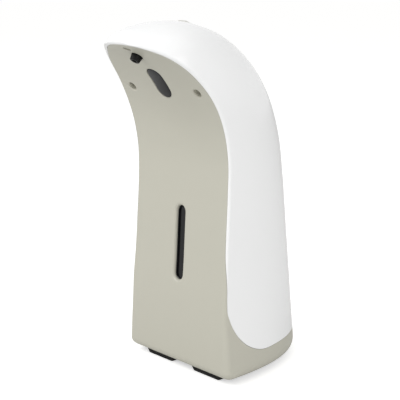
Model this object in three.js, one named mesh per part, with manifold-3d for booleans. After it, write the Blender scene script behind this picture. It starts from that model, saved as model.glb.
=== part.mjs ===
// Automatic soap dispenser: a tall curved body with a sensor and a nozzle under its overhanging tip
import * as THREE from 'three';
import { mergeVertices } from 'three/addons/utils/BufferGeometryUtils.js';
import Module from 'manifold-3d';

const wasm = await Module();
wasm.setup();

// Overall size, with the floor at z = 0, the front towards -Y and the origin under the middle of the body
const bodyHeight = 189.8;
const bodyDepth = 124;
const bodyWidth = 82.5;
const baseLift = 2.6;
const floorGap = 0.8;

// Walls, edges and the clearances between neighbours
const wall = 2;
const panel = 2.5;
const rim = 1.8;
const baseRound = 4;
const baseCorner = 4.5;
const noseRound = 2.6;
const gap = 0.3;
const seat = 0.1;
const running = 0.1;
const overrun = 3;

// Side profiles from the base to the tip, in pairs of a share of the depth and a share of the height
const faceShares = [
  [-0.152, 0], [-0.151, 0.111], [-0.144, 0.216], [-0.137, 0.322], [-0.129, 0.427], [-0.12, 0.532],
  [-0.121, 0.637], [-0.158, 0.739], [-0.237, 0.83], [-0.349, 0.905], [-0.495, 0.94],
];
const backShares = [
  [0.49, 0], [0.473, 0.144], [0.456, 0.283], [0.431, 0.421], [0.406, 0.559], [0.367, 0.696],
  [0.28, 0.821], [0.134, 0.921], [-0.052, 0.983], [-0.259, 0.998], [-0.46, 0.96],
];
const widthShares = [0.5, 0.486, 0.475, 0.463, 0.452, 0.451, 0.452, 0.447, 0.443, 0.41, 0.279];
const tipStartShare = 0.707;
const cornerStartShare = 0.12;
const cornerEndShare = 0.24;
const sectionPowerShare = 0.8;
const slopeShare = 0.01;

// Where the white shell ends and the grey base begins: a quarter ellipse, then a level line round the back
const skirtHeight = 11.2;
const skirtRise = 34;
const skirtRun = 32;

// Places along the face, each a share of the way from the base to the tip
const slotPlaceShare = 0.34;
const sensorPlaceShare = 0.8;
const screwPlaceShare = 0.778;
const tipScrewPlaceShare = 0.94;
const nozzlePlaceShare = 0.902;
const capPlaceShare = 0.79;
const tankBackPlaceShare = 0.5;

// Level slot and its window
const slotLength = 43;
const slotHalfWidth = 4.3;
const slotRim = 0.9;
const windowThickness = 1.6;
const windowMargin = 2.4;
const windowSealWidth = 1.6;
const windowSealThickness = 0.8;

// Sensor window, board and lamps
const sensorLength = 21.5;
const sensorHalfWidth = 5.6;
const sensorFlange = 1.6;
const sensorFlangeThickness = 1.2;
const lampRadius = 1.5;
const lampLength = 2.4;
const lampSpacing = 5.6;
const lampDomeShares = [[1, 0.8], [0.8, 0.3], [0.35, 0]];
const statusRadius = 0.8;
const boardThickness = 1.2;
const sensorBoardWidth = 21;
const sensorBoardLength = 15;
const pegRadius = 1.2;
const pegBorder = 0.5;

// Cover screws, their plugs and the posts that take them
const plugRadius = 2.5;
const plugDepth = 2.6;
const plugThickness = 1.2;
const screwBorder = 10;
const screwHeadRadius = 2.1;
const screwHeadHeight = 1.5;
const screwRadius = 1.1;
const screwLength = 9;
const tipScrewLength = 5;
const screwLedge = 1.3;
const postRadius = 3.4;
const postReach = 40;
const bossRadius = 4;
const bossTop = 13.4;
const bossInset = 5.7;
const frontBossShare = 0.1216;
const rearBossShare = 0.845;
const baseScrewLength = 7;

// Nozzle
const nozzleRadius = 2.9;
const nozzleTipRadius = 2.6;
const nozzleLength = 2.3;
const nozzleBore = 1.3;
const nozzleCollar = 4;
const nozzleCollarThickness = 1.4;
const chamberRadius = 2.8;
const chamberDepth = 10.5;
const barbRadius = 1.3;
const barbDepth = 8.5;
const barbLength = 7.5;
const valveRadius = 1.15;
const valveLength = 3;

// Fill cap, its seal and the collar of the tank
const capRadius = 12;
const capProud = 0.6;
const capDome = 0.5;
const capDomeShares = [[1, -0.5], [0.94, 0], [0.6, 0.7], [0.2, 1]];
const capThickness = 2.6;
const plugStem = 7.5;
const plugStemLength = 6;
const collarRadius = 11;
const collarBore = 9.1;
const collarLength = 9;
const sealRadius = 0.9;

// Tank
const tankSideRoom = 8.7;
const tankFrontRoom = 5.2;
const tankBackRoom = 5.6;
const tankUnderRoom = 5.2;
const tankWall = 1.6;
const tankPower = 2.4;
const tankLevelShares = [0.48, 0.76, 0.84];
const tankFloorShare = 0.93;
const tankFloorRound = 2;
const shoulderShares = [0.84, 0.76, 0.18];
const throatShares = [0.58, 0.5, 0.52];
const spoutRadius = 2.4;
const spoutBore = 1.5;
const spoutLength = 4.5;
const spoutPlace = 6;

// Battery cells, their tray, contacts and door
const cellRadius = 5.25;
const cellLength = 43.5;
const cellTip = 1;
const cellTipRadius = 1.9;
const cellPitch = 10.9;
const cellCount = 4;
const trayWall = 1.2;
const trayFront = 14.2;
const trayEnd = 3;
const cellLift = 0.4;
const contactThickness = 0.4;
const contactHeight = 8;
const contactBump = 0.4;
const springRadius = 2.6;
const springEndRadius = 1.6;
const springWire = 0.35;
const springTurns = 3;
const springSides = 5;
const plateThickness = 2;
const doorPinRadius = 0.6;
const doorPinLength = 1.6;
const doorGap = 0.4;
const sealThickness = 1;
const latchWidth = 12;
const latchHeight = 1.4;
const latchThickness = 1.2;
const gripDepth = 0.9;
const gripWidth = 3;

// Feet
const footInner = 6.9;
const footBorder = 10.05;
const footBevel = 2.3;
const footFront = 6.4;
const footWidth = 6;
const rearFootWidth = 9;
const rearFootOuter = 17.4;
const rearFootBorder = 19.2;

// Motor, gears and pump, on three upright axes behind each other
const motorWidth = 12;
const motorDepth = 10;
const motorLength = 15;
const motorRoom = 13.3;
const motorBossRadius = 2;
const motorBossHeight = 1;
const motorShaftRadius = 0.75;
const motorShaftLength = 11;
const motorShaftProud = 6.5;
const gearModule = 0.5;
const pinionTeeth = 10;
const wheelTeeth = 40;
const smallTeeth = 12;
const rotorTeeth = 36;
const gearWidth = 2.8;
const toothWidthShares = [0.6, 0.44, 0.26];
const toothReachShares = [-1.15, 0, 0.85];
const pinRadius = 1;
const pinProud = 1;
const pumpRadius = 16;
const pumpWall = 2;
const pumpFloor = 1.6;
const pumpCoverThickness = 1.3;
const rollerRadius = 3;
const rollerOrbit = 8;
const rollerHeight = 5;
const rollerCount = 3;
const rollerPinRadius = 1;
const rotorDisc = 9.6;
const rotorDiscThickness = 1.2;
const rotorShaftRadius = 1.25;
const hoseWidth = 4.6;
const hoseFlat = 2.4;
const hoseBoreWidth = 2.8;
const hoseBoreFlat = 0.5;
const hoseEnd = 2;
const deckThickness = 1.5;
const deckHalfWidth = 12;
const deckFront = 8;
const deckRear = 5.2;
const legWidth = 2.5;
const legPlace = 1.2;

// Tubes, cable and main board
const tubeRadius = 2;
const tubeBore = 1.2;
const tubeSides = 8;
const hoseSteps = 22;
const suctionSteps = 10;
const riserSteps = 34;
const riserRoom = 1.2;
const riserInset = 6.7;
const bendShares = [0.88, 0.08, 0.39];
const crossShares = [0.58, 0.27, 0.65];
const cableWidth = 3;
const cableThickness = 0.7;
const mainBoardWidth = 52;
const mainBoardHeight = 19;
const mainBoardBack = 4.4;
const chipSize = 7;
const chipHeight = 1.2;
const capacitorRadius = 2.5;
const capacitorHeight = 7;

// Power slider on the back of the base
const sliderWidth = 5;
const sliderHeight = 3.4;
const sliderProud = 1;
const sliderTravel = 2.5;
const sliderFlange = 1.4;
const sliderFlangeThickness = 0.9;
const sliderPlace = 6.2;
const switchDepth = 2.2;
const switchHalfWidth = 4.5;
const switchHalfHeight = 2.6;
const switchBoardHalfWidth = 9;
const switchBoardHeight = 8.5;

// How finely the curved surfaces are divided
const stepShares = [
  0, 0.003, 0.008, 0.014, 0.0205, 0.06, 0.12, 0.18, 0.24, 0.3, 0.36, 0.42, 0.48, 0.53, 0.58, 0.63, 0.68,
  0.73, 0.78, 0.82, 0.86, 0.9, 0.935,
];
const tipStepShares = [0.3, 0.55, 0.75, 0.9, 0.975, 1];
const cornerSteps = 3;
const sideSteps = 8;
const roundSides = 20;
const smallSides = 12;

// Profiles, widths and places on the body

const shellHeight = bodyHeight - baseLift;
const faceCurve = profile(faceShares);
const backCurve = profile(backShares);
const widthCurve = new THREE.SplineCurve(
  widthShares.map((share, i) => new THREE.Vector2(i, share * bodyWidth)),
);
const faceLength = faceCurve.getLength();
const tipDetail = stepShares.at(-1);

function profile(shares) {
  return new THREE.SplineCurve(
    shares.map(([y, z]) => new THREE.Vector2(y * bodyDepth, baseLift + z * shellHeight)),
  );
}

// A point of a profile, carried on in a straight line past its ends
function along(curve, s) {
  const end = THREE.MathUtils.clamp(s, 0, 1);
  const near = Math.abs(end - slopeShare);
  const point = curve.getPoint(end);
  const slope = point.clone().sub(curve.getPoint(near)).divideScalar(end - near);
  return point.addScaledVector(slope, s - end);
}

// Half of the width at a place along the face, drawn in to a round tip
function halfWidth(s, inset) {
  const straight = widthCurve.getPoint(THREE.MathUtils.clamp(s, 0, 1)).y - inset;
  const turn = Math.max(0, (s - tipStartShare) / (tipEnd(inset) - tipStartShare));
  return Math.max(straight * Math.sqrt(Math.max(0, 1 - turn * turn)), seat);
}

function tipEnd(inset) {
  return 1 + (rim - inset) / faceLength;
}

function steps(inset, start) {
  const end = tipEnd(inset);
  const plain = stepShares.filter((s) => s > start);
  return [start, ...plain, ...tipStepShares.map((share) => tipDetail + (end - tipDetail) * share)];
}

// How far an edge of a given radius is drawn in at a distance from its end
function rounding(radius, distance) {
  const left = Math.max(0, radius - distance);
  return radius - Math.sqrt(radius * radius - Math.min(left, radius) ** 2);
}

// One D-shaped section of the body, from the right front corner round the back to the left one
function section(s, inset, rounded) {
  const front = along(faceCurve, s);
  const back = along(backCurve, s);
  const inward = back.clone().sub(front).normalize();
  const end = (tipEnd(inset) - s) * faceLength;
  const drawn = rounded ? rounding(baseRound, s * faceLength) : 0;
  const depth = inset + drawn + rounding(noseRound, end);
  front.addScaledVector(inward, depth);
  back.addScaledVector(inward, -depth);
  const length = front.distanceTo(back);
  const width = Math.max(halfWidth(s, inset) - drawn, seat);
  const softening = THREE.MathUtils.smoothstep(s, cornerStartShare, cornerEndShare);
  const edge = THREE.MathUtils.lerp(baseCorner, rim, softening) - inset;
  const corner = Math.min(Math.max(edge, seat), length / 3, width / 2);
  const half = [];
  for (let i = 0; i <= cornerSteps; i += 1) {
    const turn = (i / cornerSteps) * Math.PI / 2;
    half.push([width - corner + corner * Math.sin(turn), corner - corner * Math.cos(turn)]);
  }
  const start = Math.asin((corner / length) ** (1 / sectionPowerShare));
  for (let i = 1; i <= sideSteps; i += 1) {
    const turn = start + (Math.PI / 2 - start) * (i / sideSteps);
    half.push([width * Math.cos(turn), length * Math.sin(turn) ** sectionPowerShare]);
  }
  const other = half.slice(0, -1).reverse().map(([x, d]) => [-x, d]);
  return [...half, ...other].map(([x, d]) => {
    const place = front.clone().addScaledVector(inward, d);
    return new THREE.Vector3(x, place.x, place.y);
  });
}

// The body's outer form, or the same form drawn in by an inset
function envelope(inset, start, rounded) {
  return loft(steps(inset, start).map((s) => section(s, inset, rounded)));
}

// A slab that follows the face between two depths behind it
function faceSlab(front, back, inset, start) {
  const rings = steps(inset, start).map((s) => {
    const point = along(faceCurve, s);
    const inward = along(backCurve, s).sub(point).normalize();
    const near = point.clone().addScaledVector(inward, front);
    const far = point.clone().addScaledVector(inward, back);
    const half = halfWidth(s, inset);
    return [[half, near], [half, far], [-half, far], [-half, near]].map(
      ([x, p]) => new THREE.Vector3(x, p.x, p.y),
    );
  });
  return loft(rings);
}

// Turn and place of a frame on the face: local Y runs up the face and local Z points out of it
function faceTurn(s) {
  const tangent = faceCurve.getTangent(s);
  return Math.atan2(tangent.y, tangent.x);
}

function faceMatrix(s) {
  const place = along(faceCurve, s);
  return new THREE.Matrix4().makeRotationX(faceTurn(s)).setPosition(0, place.x, place.y);
}

function faceGroup(s) {
  const place = along(faceCurve, s);
  const holder = new THREE.Group();
  holder.position.set(0, place.x, place.y);
  holder.rotation.x = faceTurn(s);
  return holder;
}

// Shapes and solids

// Joins rings of equal count into one closed surface with flat ends
function loft(rings) {
  const count = rings[0].length;
  const points = rings.flat();
  const centre = (ring) => ring.reduce((sum, p) => sum.add(p), new THREE.Vector3()).divideScalar(count);
  points.push(centre(rings[0]), centre(rings.at(-1)));
  const faces = [];
  for (let i = 0; i < rings.length - 1; i += 1) {
    for (let j = 0; j < count; j += 1) {
      const a = i * count + j;
      const b = i * count + ((j + 1) % count);
      faces.push(a, b, a + count, b, b + count, a + count);
    }
  }
  const last = (rings.length - 1) * count;
  for (let j = 0; j < count; j += 1) {
    const next = (j + 1) % count;
    faces.push(points.length - 2, next, j, points.length - 1, last + j, last + next);
  }
  const geometry = new THREE.BufferGeometry().setFromPoints(points);
  geometry.setIndex(faces);
  return outward(geometry);
}

// Turns a closed surface the right way round if its volume comes out negative
function outward(geometry) {
  const place = geometry.getAttribute('position');
  const index = geometry.getIndex();
  const corner = (i) => new THREE.Vector3().fromBufferAttribute(place, index.getX(i));
  let volume = 0;
  for (let i = 0; i < index.count; i += 3) {
    volume += corner(i).dot(corner(i + 1).cross(corner(i + 2)));
  }
  if (volume < 0) {
    for (let i = 0; i < index.count; i += 3) {
      const swap = index.getX(i);
      index.setX(i, index.getX(i + 1));
      index.setX(i + 1, swap);
    }
  }
  return geometry;
}

function merged(geometry) {
  const plain = geometry.clone();
  plain.deleteAttribute('normal');
  plain.deleteAttribute('uv');
  return outward(mergeVertices(plain));
}

function solid(geometry) {
  const plain = merged(geometry);
  const vertProperties = new Float32Array(plain.getAttribute('position').array);
  const triVerts = new Uint32Array(plain.getIndex().array);
  return new wasm.Manifold(new wasm.Mesh({ numProp: 3, vertProperties, triVerts }));
}

function surface(body) {
  const mesh = body.getMesh();
  const geometry = new THREE.BufferGeometry();
  geometry.setAttribute('position', new THREE.BufferAttribute(new Float32Array(mesh.vertProperties), 3));
  geometry.setIndex(new THREE.BufferAttribute(new Uint32Array(mesh.triVerts), 1));
  return geometry;
}

function join(first, ...others) {
  return surface(others.reduce((sum, other) => sum.add(solid(other)), solid(first)));
}

function cut(first, ...others) {
  return surface(others.reduce((sum, other) => sum.subtract(solid(other)), solid(first)));
}

function common(first, other) {
  return surface(solid(first).intersect(solid(other)));
}

// A block between two corners
function block(x0, x1, y0, y1, z0, z1) {
  const geometry = new THREE.BoxGeometry(x1 - x0, y1 - y0, z1 - z0);
  return geometry.translate((x0 + x1) / 2, (y0 + y1) / 2, (z0 + z1) / 2);
}

// An upright rod or taper from z0 to z1 on a centre
function rod(radius, z0, z1, x = 0, y = 0, sides = roundSides, topRadius = radius) {
  const geometry = new THREE.CylinderGeometry(topRadius, radius, z1 - z0, sides);
  return geometry.rotateX(Math.PI / 2).translate(x, y, (z0 + z1) / 2);
}

// The outline of a slot with round ends, as a ring of points at a height
function slotRing(halfAcross, length, z) {
  const straight = length / 2 - halfAcross;
  const points = [];
  for (let i = 0; i < 2 * smallSides; i += 1) {
    const turn = ((i + 0.5) / smallSides) * Math.PI;
    const shift = i < smallSides ? straight : -straight;
    points.push(new THREE.Vector3(halfAcross * Math.cos(turn), shift + halfAcross * Math.sin(turn), z));
  }
  return points;
}

function slotPrism(halfAcross, length, z0, z1) {
  return loft([slotRing(halfAcross, length, z0), slotRing(halfAcross, length, z1)]);
}

// A turned form: circles of given radii at given heights
function turned(pairs) {
  return loft(pairs.map(([radius, z]) => ovalRing(radius, radius, 2, 0, z, 0)));
}

// A ring of a superellipse at a height, with a tilt about X
function ovalRing(halfX, halfY, power, y, z, tilt) {
  const points = [];
  for (let i = 0; i < roundSides; i += 1) {
    const turn = (i / roundSides) * Math.PI * 2;
    const c = Math.cos(turn);
    const n = Math.sin(turn);
    const across = halfX * Math.sign(c) * Math.abs(c) ** (2 / power);
    const deep = halfY * Math.sign(n) * Math.abs(n) ** (2 / power);
    points.push(new THREE.Vector3(across, y + deep * Math.cos(tilt), z + deep * Math.sin(tilt)));
  }
  return points;
}

// A tube or strip of a section carried along a curve
function swept(outline, curve, count) {
  return new THREE.ExtrudeGeometry(outline, { extrudePath: curve, steps: count, bevelEnabled: false });
}

function ovalShape(halfX, halfY, sides, boreX, boreY) {
  const ring = (x, y) => Array.from({ length: sides }, (_, i) => {
    const turn = (i / sides) * Math.PI * 2;
    return new THREE.Vector2(x * Math.cos(turn), y * Math.sin(turn));
  });
  const shape = new THREE.Shape(ring(halfX, halfY));
  if (boreX) shape.holes.push(new THREE.Path(ring(boreX, boreY)));
  return shape;
}

const root = new THREE.Group();

function paint(color, roughness, metalness) {
  return () => new THREE.MeshStandardMaterial({ color, roughness, metalness });
}

function add(name, geometry, material, parent = root, x = 0, y = 0, z = 0) {
  const mesh = new THREE.Mesh(geometry, material());
  mesh.name = name;
  mesh.position.set(x, y, z);
  parent.add(mesh);
  return mesh;
}

const greyPlastic = paint(0xc4c2b6, 0.45, 0.2);
const whitePlastic = paint(0xf4f4f3, 0.35, 0);
const smokedPlastic = paint(0x3c3c40, 0.15, 0);
const blackPlastic = paint(0x1e1e1e, 0.5, 0);
const darkRubber = paint(0x201f1c, 0.9, 0);
const clearPlastic = paint(0xd8dcdc, 0.2, 0);
const softRubber = paint(0xb9b7ac, 0.8, 0);
const innerPlastic = paint(0x8c8c88, 0.6, 0);
const steel = paint(0xb8babc, 0.3, 1);
const brass = paint(0xb5924a, 0.35, 1);
const gearPlastic = paint(0xe9e4d2, 0.5, 0);
const boardGreen = paint(0x1f5a3a, 0.5, 0);
const cellSkin = paint(0x4d5a63, 0.4, 0.3);
const silicone = paint(0xe6e3da, 0.5, 0);

// Front cover: the grey panel and the base that wraps round the sides and the back, as one moulding

const floorLevel = baseLift + floorGap;
const plateTop = floorLevel + plateThickness;
const skirtTop = baseLift + skirtHeight;

// The side view of everything below the line between the two covers
function skirtRegion(clearance) {
  const middle = along(faceCurve, skirtTop / shellHeight).x + skirtRun;
  const top = skirtTop + skirtRise;
  const outline = [[-bodyDepth, -overrun], [-bodyDepth, top - clearance]];
  for (let i = 0; i <= smallSides; i += 1) {
    const turn = (i / smallSides) * Math.PI / 2;
    const run = middle - (skirtRun - clearance) * Math.cos(turn);
    outline.push([run - clearance, top - clearance - skirtRise * Math.sin(turn)]);
  }
  outline.push([bodyDepth, skirtTop - clearance], [bodyDepth, -overrun]);
  const shape = new THREE.Shape(outline.map(([y, z]) => new THREE.Vector2(y, z)));
  const slab = new THREE.ExtrudeGeometry(shape, { depth: 2 * bodyWidth, bevelEnabled: false });
  slab.rotateX(Math.PI / 2).rotateZ(Math.PI / 2);
  return slab.translate(-bodyWidth, 0, 0);
}

const outerForm = envelope(0, 0, true);
const innerForm = envelope(wall, -overrun / faceLength, false);
const hollowForm = cut(outerForm, innerForm);

const slotFrame = faceMatrix(slotPlaceShare);
const sensorFrame = faceMatrix(sensorPlaceShare);
const screwFrame = faceMatrix(screwPlaceShare);
const nozzleFrame = faceMatrix(nozzlePlaceShare);

const slotCut = loft([
  slotRing(slotHalfWidth, slotLength - 2 * slotRim, -panel - overrun),
  slotRing(slotHalfWidth, slotLength - 2 * slotRim, -slotRim),
  slotRing(slotHalfWidth + slotRim, slotLength, gap),
  slotRing(slotHalfWidth + slotRim, slotLength, overrun),
]).applyMatrix4(slotFrame);
const sensorPrism = slotPrism(sensorHalfWidth, sensorLength, -panel - overrun, overrun);
const sensorCut = sensorPrism.applyMatrix4(sensorFrame);
const headTop = plugDepth + plugThickness + seat;
const ledgeTop = headTop + screwHeadHeight + seat;
const ledgeBack = ledgeTop + screwLedge;
const screwSide = halfWidth(screwPlaceShare, 0) - screwBorder;
const screwSides = [['left', -screwSide], ['right', screwSide]];
const screwCups = screwSides.map(
  ([, x]) => rod(postRadius, -ledgeBack, -panel / 2, x, 0, smallSides).applyMatrix4(screwFrame),
);
const screwCuts = screwSides.flatMap(([, x]) => [
  rod(plugRadius, -ledgeTop, overrun, x).applyMatrix4(screwFrame),
  rod(screwRadius + running, -ledgeBack - overrun, 0, x, 0, smallSides).applyMatrix4(screwFrame),
]);
const tipScrewFrame = faceMatrix(tipScrewPlaceShare);
const tipHeadTop = plugDepth + seat;
const tipLedgeTop = tipHeadTop + screwHeadHeight + seat;
const tipLedgeBack = tipLedgeTop + screwLedge;
const tipCup = rod(postRadius, -tipLedgeBack, -panel / 2, 0, 0, smallSides).applyMatrix4(tipScrewFrame);
const tipCuts = [
  rod(plugRadius, -tipLedgeTop, overrun).applyMatrix4(tipScrewFrame),
  rod(screwRadius + running, -tipLedgeBack - overrun, 0, 0, 0, smallSides).applyMatrix4(tipScrewFrame),
];
const nozzleCut = rod(nozzleRadius + gap, -panel - overrun, overrun).applyMatrix4(nozzleFrame);

// Bosses for the base screws stand against the inner wall
const frontEnd = along(faceCurve, 0).x;
const backEnd = along(backCurve, 0).x;
function outlinePoint(share) {
  const turn = Math.asin(share ** (1 / sectionPowerShare));
  const side = halfWidth(0, 0) * Math.cos(turn);
  return new THREE.Vector2(side, frontEnd + (backEnd - frontEnd) * share);
}

function bossPair(name, share) {
  const point = outlinePoint(share);
  const slope = outlinePoint(share + slopeShare).sub(point).normalize();
  const place = point.add(new THREE.Vector2(-slope.y, slope.x).multiplyScalar(bossInset));
  return [[`${name}_left`, -place.x, place.y], [`${name}_right`, place.x, place.y]];
}
const bossPlaces = [...bossPair('front', frontBossShare), ...bossPair('rear', rearBossShare)];
const bosses = bossPlaces.map(([, x, y]) => common(
  rod(bossRadius, plateTop + seat, bossTop, x, y, smallSides),
  envelope(seat, 0, false),
));
const baseScrewTop = floorLevel + screwHeadHeight + baseScrewLength;
const bossHoles = bossPlaces.map(
  ([, x, y]) => rod(screwRadius + running, 0, baseScrewTop + gap, x, y, smallSides),
);

// The slot for the power slider goes through the back of the base
const sliderZ = baseLift + sliderPlace;
const backWallPlace = along(backCurve, sliderPlace / shellHeight).x;
const sliderSlot = block(
  -sliderWidth / 2 - sliderTravel - gap, sliderWidth / 2 + sliderTravel + gap,
  backWallPlace - wall - overrun, backWallPlace + overrun,
  sliderZ - sliderHeight / 2 - gap, sliderZ + sliderHeight / 2 + gap,
);

// Pegs that carry the sensor board
const lampFront = -panel - sensorFlangeThickness - gap - sensorFlange;
const lampBack = lampFront - lampLength;
const boardFront = lampBack - seat;
const boardBack = boardFront - boardThickness;
const pegSide = sensorBoardWidth / 2 - pegRadius - pegBorder;
const pegs = [-pegSide, pegSide].map(
  (x) => rod(pegRadius, boardFront + seat, -panel / 2, x, 0, smallSides).applyMatrix4(sensorFrame),
);

const skirt = common(hollowForm, skirtRegion(0));
const panelPlate = faceSlab(0, panel, rim, baseRound / faceLength);
add('front_cover', cut(
  join(skirt, panelPlate, ...bosses, ...screwCups, tipCup, ...pegs),
  slotCut, sensorCut, ...screwCuts, ...tipCuts, nozzleCut, ...bossHoles, sliderSlot,
), greyPlastic);

// Rear cover: the white shell over the top, the back and the sides

const capPoint = along(backCurve, capPlaceShare);
const capTangent = backCurve.getTangent(capPlaceShare);
const capTilt = Math.atan2(capTangent.y, capTangent.x) + Math.PI;
const capFrame = new THREE.Matrix4().makeRotationX(capTilt).setPosition(0, capPoint.x, capPoint.y);
const capHole = rod(capRadius + gap, -capThickness - collarLength, 2 * overrun).applyMatrix4(capFrame);

const posts = screwSides.map(([, x]) => common(
  rod(postRadius, -postReach, -ledgeBack - gap, x, 0, smallSides).applyMatrix4(screwFrame),
  envelope(seat, 0, false),
));
const postHoles = screwSides.map(
  ([, x]) => rod(screwRadius + running, -ledgeTop - screwLength - gap, 0, x, 0, smallSides)
    .applyMatrix4(screwFrame),
);
const tipPost = common(
  rod(postRadius, -postReach, -tipLedgeBack - gap, 0, 0, smallSides).applyMatrix4(tipScrewFrame),
  envelope(seat, 0, false),
);
const tipPostHole = rod(
  screwRadius + running, -tipLedgeTop - tipScrewLength - gap, 0, 0, 0, smallSides,
).applyMatrix4(tipScrewFrame);
const upperShell = cut(
  hollowForm,
  skirtRegion(-gap),
  faceSlab(-overrun, panel + gap, rim - gap, -wall / faceLength),
);
add('rear_cover', cut(
  join(upperShell, ...posts, tipPost),
  capHole, ...postHoles, tipPostHole,
), whitePlastic);

// Screws that hold the two covers together, and the plugs that hide the heads of the two lower ones

const screwHolder = faceGroup(screwPlaceShare);
root.add(screwHolder);
const coverScrew = join(
  rod(screwHeadRadius, -ledgeTop + seat, -headTop),
  rod(screwRadius, -ledgeTop - screwLength, -ledgeTop + seat, 0, 0, smallSides),
);
const screwPlug = rod(plugRadius - seat, -plugDepth - plugThickness, -plugDepth);
for (const [side, x] of screwSides) {
  add(`cover_screw_${side}`, coverScrew, steel, screwHolder, x);
  add(`screw_plug_${side}`, screwPlug, greyPlastic, screwHolder, x);
}

const tipScrewHolder = faceGroup(tipScrewPlaceShare);
root.add(tipScrewHolder);
add('cover_screw_tip', join(
  rod(screwHeadRadius, -tipLedgeTop + seat, -tipHeadTop),
  rod(screwRadius, -tipLedgeTop - tipScrewLength, -tipLedgeTop + seat, 0, 0, smallSides),
), steel, tipScrewHolder);

// Level window behind the slot, and the rubber frame that seals it

function slotPlate(margin, front, back) {
  const prism = slotPrism(slotHalfWidth + margin, slotLength + 2 * margin, -postReach, overrun);
  return common(prism.applyMatrix4(slotFrame), faceSlab(front, back, rim, 0));
}

const windowFront = panel + seat;
const windowBack = windowFront + windowThickness;
add('level_window', slotPlate(windowMargin, windowFront, windowBack), smokedPlastic);
add('level_window_seal', cut(
  slotPlate(windowMargin, windowBack + seat, windowBack + seat + windowSealThickness),
  slotPrism(slotHalfWidth + windowMargin - windowSealWidth, slotLength, -postReach, overrun)
    .applyMatrix4(slotFrame),
), darkRubber);

// Sensor window, and behind it a small board with the lamp, the eye and the status light

const sensorBack = panel + seat + sensorFlangeThickness;
function sensorPlate(margin, front, back) {
  const prism = slotPrism(sensorHalfWidth + margin, sensorLength + 2 * margin, -postReach, overrun);
  return common(prism.applyMatrix4(sensorFrame), faceSlab(front, back, rim, 0));
}
add('sensor_window', join(
  sensorPlate(-seat, seat, sensorBack),
  sensorPlate(sensorFlange, panel + seat, sensorBack),
), smokedPlastic);

const sensorHolder = faceGroup(sensorPlaceShare);
root.add(sensorHolder);
add('sensor_board', block(
  -sensorBoardWidth / 2, sensorBoardWidth / 2,
  -sensorBoardLength / 2, sensorBoardLength / 2, boardBack, boardFront,
), boardGreen, sensorHolder);
const lamp = turned([
  [lampRadius, lampBack],
  ...lampDomeShares.map(([across, back]) => [lampRadius * across, lampFront - lampRadius * back]),
]);
add('infrared_lamp', lamp, clearPlastic, sensorHolder, 0, lampSpacing);
add('infrared_eye', lamp, blackPlastic, sensorHolder, 0, -lampSpacing);
const statusLamp = rod(statusRadius, lampBack, lampFront, 0, 0, smallSides);
add('status_light', statusLamp, clearPlastic, sensorHolder);

// Nozzle with its collar, the chamber behind the panel and the barb for the outlet tube

const nozzleHolder = faceGroup(nozzlePlaceShare);
root.add(nozzleHolder);
const collarFront = -panel - gap;
add('nozzle', cut(
  join(
    rod(nozzleRadius, collarFront - seat, nozzleLength, 0, 0, roundSides, nozzleTipRadius),
    rod(nozzleCollar, collarFront - nozzleCollarThickness, collarFront),
    rod(chamberRadius, -chamberDepth, collarFront - seat, 0, 0, smallSides),
    rod(barbRadius, 0, barbLength, 0, 0, smallSides).rotateY(Math.PI / 2).translate(0, 0, -barbDepth),
  ),
  rod(nozzleBore, -barbDepth, nozzleLength + overrun, 0, 0, smallSides),
), blackPlastic, nozzleHolder);
add('nozzle_valve', rod(
  valveRadius, nozzleLength - valveLength, nozzleLength - seat, 0, 0, smallSides, valveRadius / 2,
), softRubber, nozzleHolder);

// Fill cap with its stem, and the ring that seals it in the collar

const capHolder = new THREE.Group();
capHolder.position.set(0, capPoint.x, capPoint.y);
capHolder.rotation.x = capTilt;
root.add(capHolder);
const capBottom = capProud - capThickness;
const collarTop = capBottom - seat;
const sealCentre = capBottom - plugStemLength / 2;
const grooveDepth = sealRadius / 2;
add('fill_cap', turned([
  [plugStem, capBottom - plugStemLength], [plugStem, sealCentre - sealRadius - seat],
  [plugStem - grooveDepth, sealCentre - sealRadius - seat],
  [plugStem - grooveDepth, sealCentre + sealRadius + seat],
  [plugStem, sealCentre + sealRadius + seat], [plugStem, capBottom],
  [capRadius, capBottom],
  ...capDomeShares.map(([across, up]) => [capRadius * across, capProud + capDome * up]),
]), softRubber, capHolder);
const sealProfile = Array.from({ length: tubeSides + 1 }, (_, i) => {
  const turn = (i / tubeSides) * Math.PI * 2;
  const middle = plugStem - grooveDepth + seat + sealRadius;
  return new THREE.Vector2(middle + sealRadius * Math.cos(turn), sealRadius * Math.sin(turn));
});
add('fill_cap_seal', merged(new THREE.LatheGeometry(sealProfile, roundSides).rotateX(Math.PI / 2)),
  darkRubber, capHolder, 0, 0, sealCentre);

// Base plate under everything, with the opening for the cells

const bayHalf = cellLength / 2 + cellTip + trayEnd;
const bayFront = frontEnd + trayFront;
const bayBack = bayFront + cellCount * cellPitch;
const hingePlace = bayFront + doorGap + plateThickness / 2;
const hingeLevel = floorLevel + plateThickness / 2;
const doorSide = bayHalf - doorGap;

function sideRod(radius, x0, x1, y, z, sides) {
  return rod(radius, x0, x1, 0, 0, sides).rotateY(Math.PI / 2).translate(0, y, z);
}

const headHoles = bossPlaces.flatMap(([, x, y]) => [
  rod(screwHeadRadius + running, 0, floorLevel + screwHeadHeight + seat, x, y),
  rod(screwRadius + running, 0, bossTop, x, y, smallSides),
]);
add('base_plate', cut(
  common(
    envelope(wall + seat, 0, false),
    block(-bodyWidth, bodyWidth, -bodyDepth, bodyDepth, floorLevel, plateTop),
  ),
  block(-bayHalf, bayHalf, bayFront, bayBack, 0, plateTop + overrun),
  ...headHoles,
  ...[-1, 1].map((side) => sideRod(
    doorPinRadius + running, side * bayHalf - doorPinLength - gap, side * bayHalf + doorPinLength + gap,
    hingePlace, hingeLevel, smallSides,
  )),
), blackPlastic);

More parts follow.
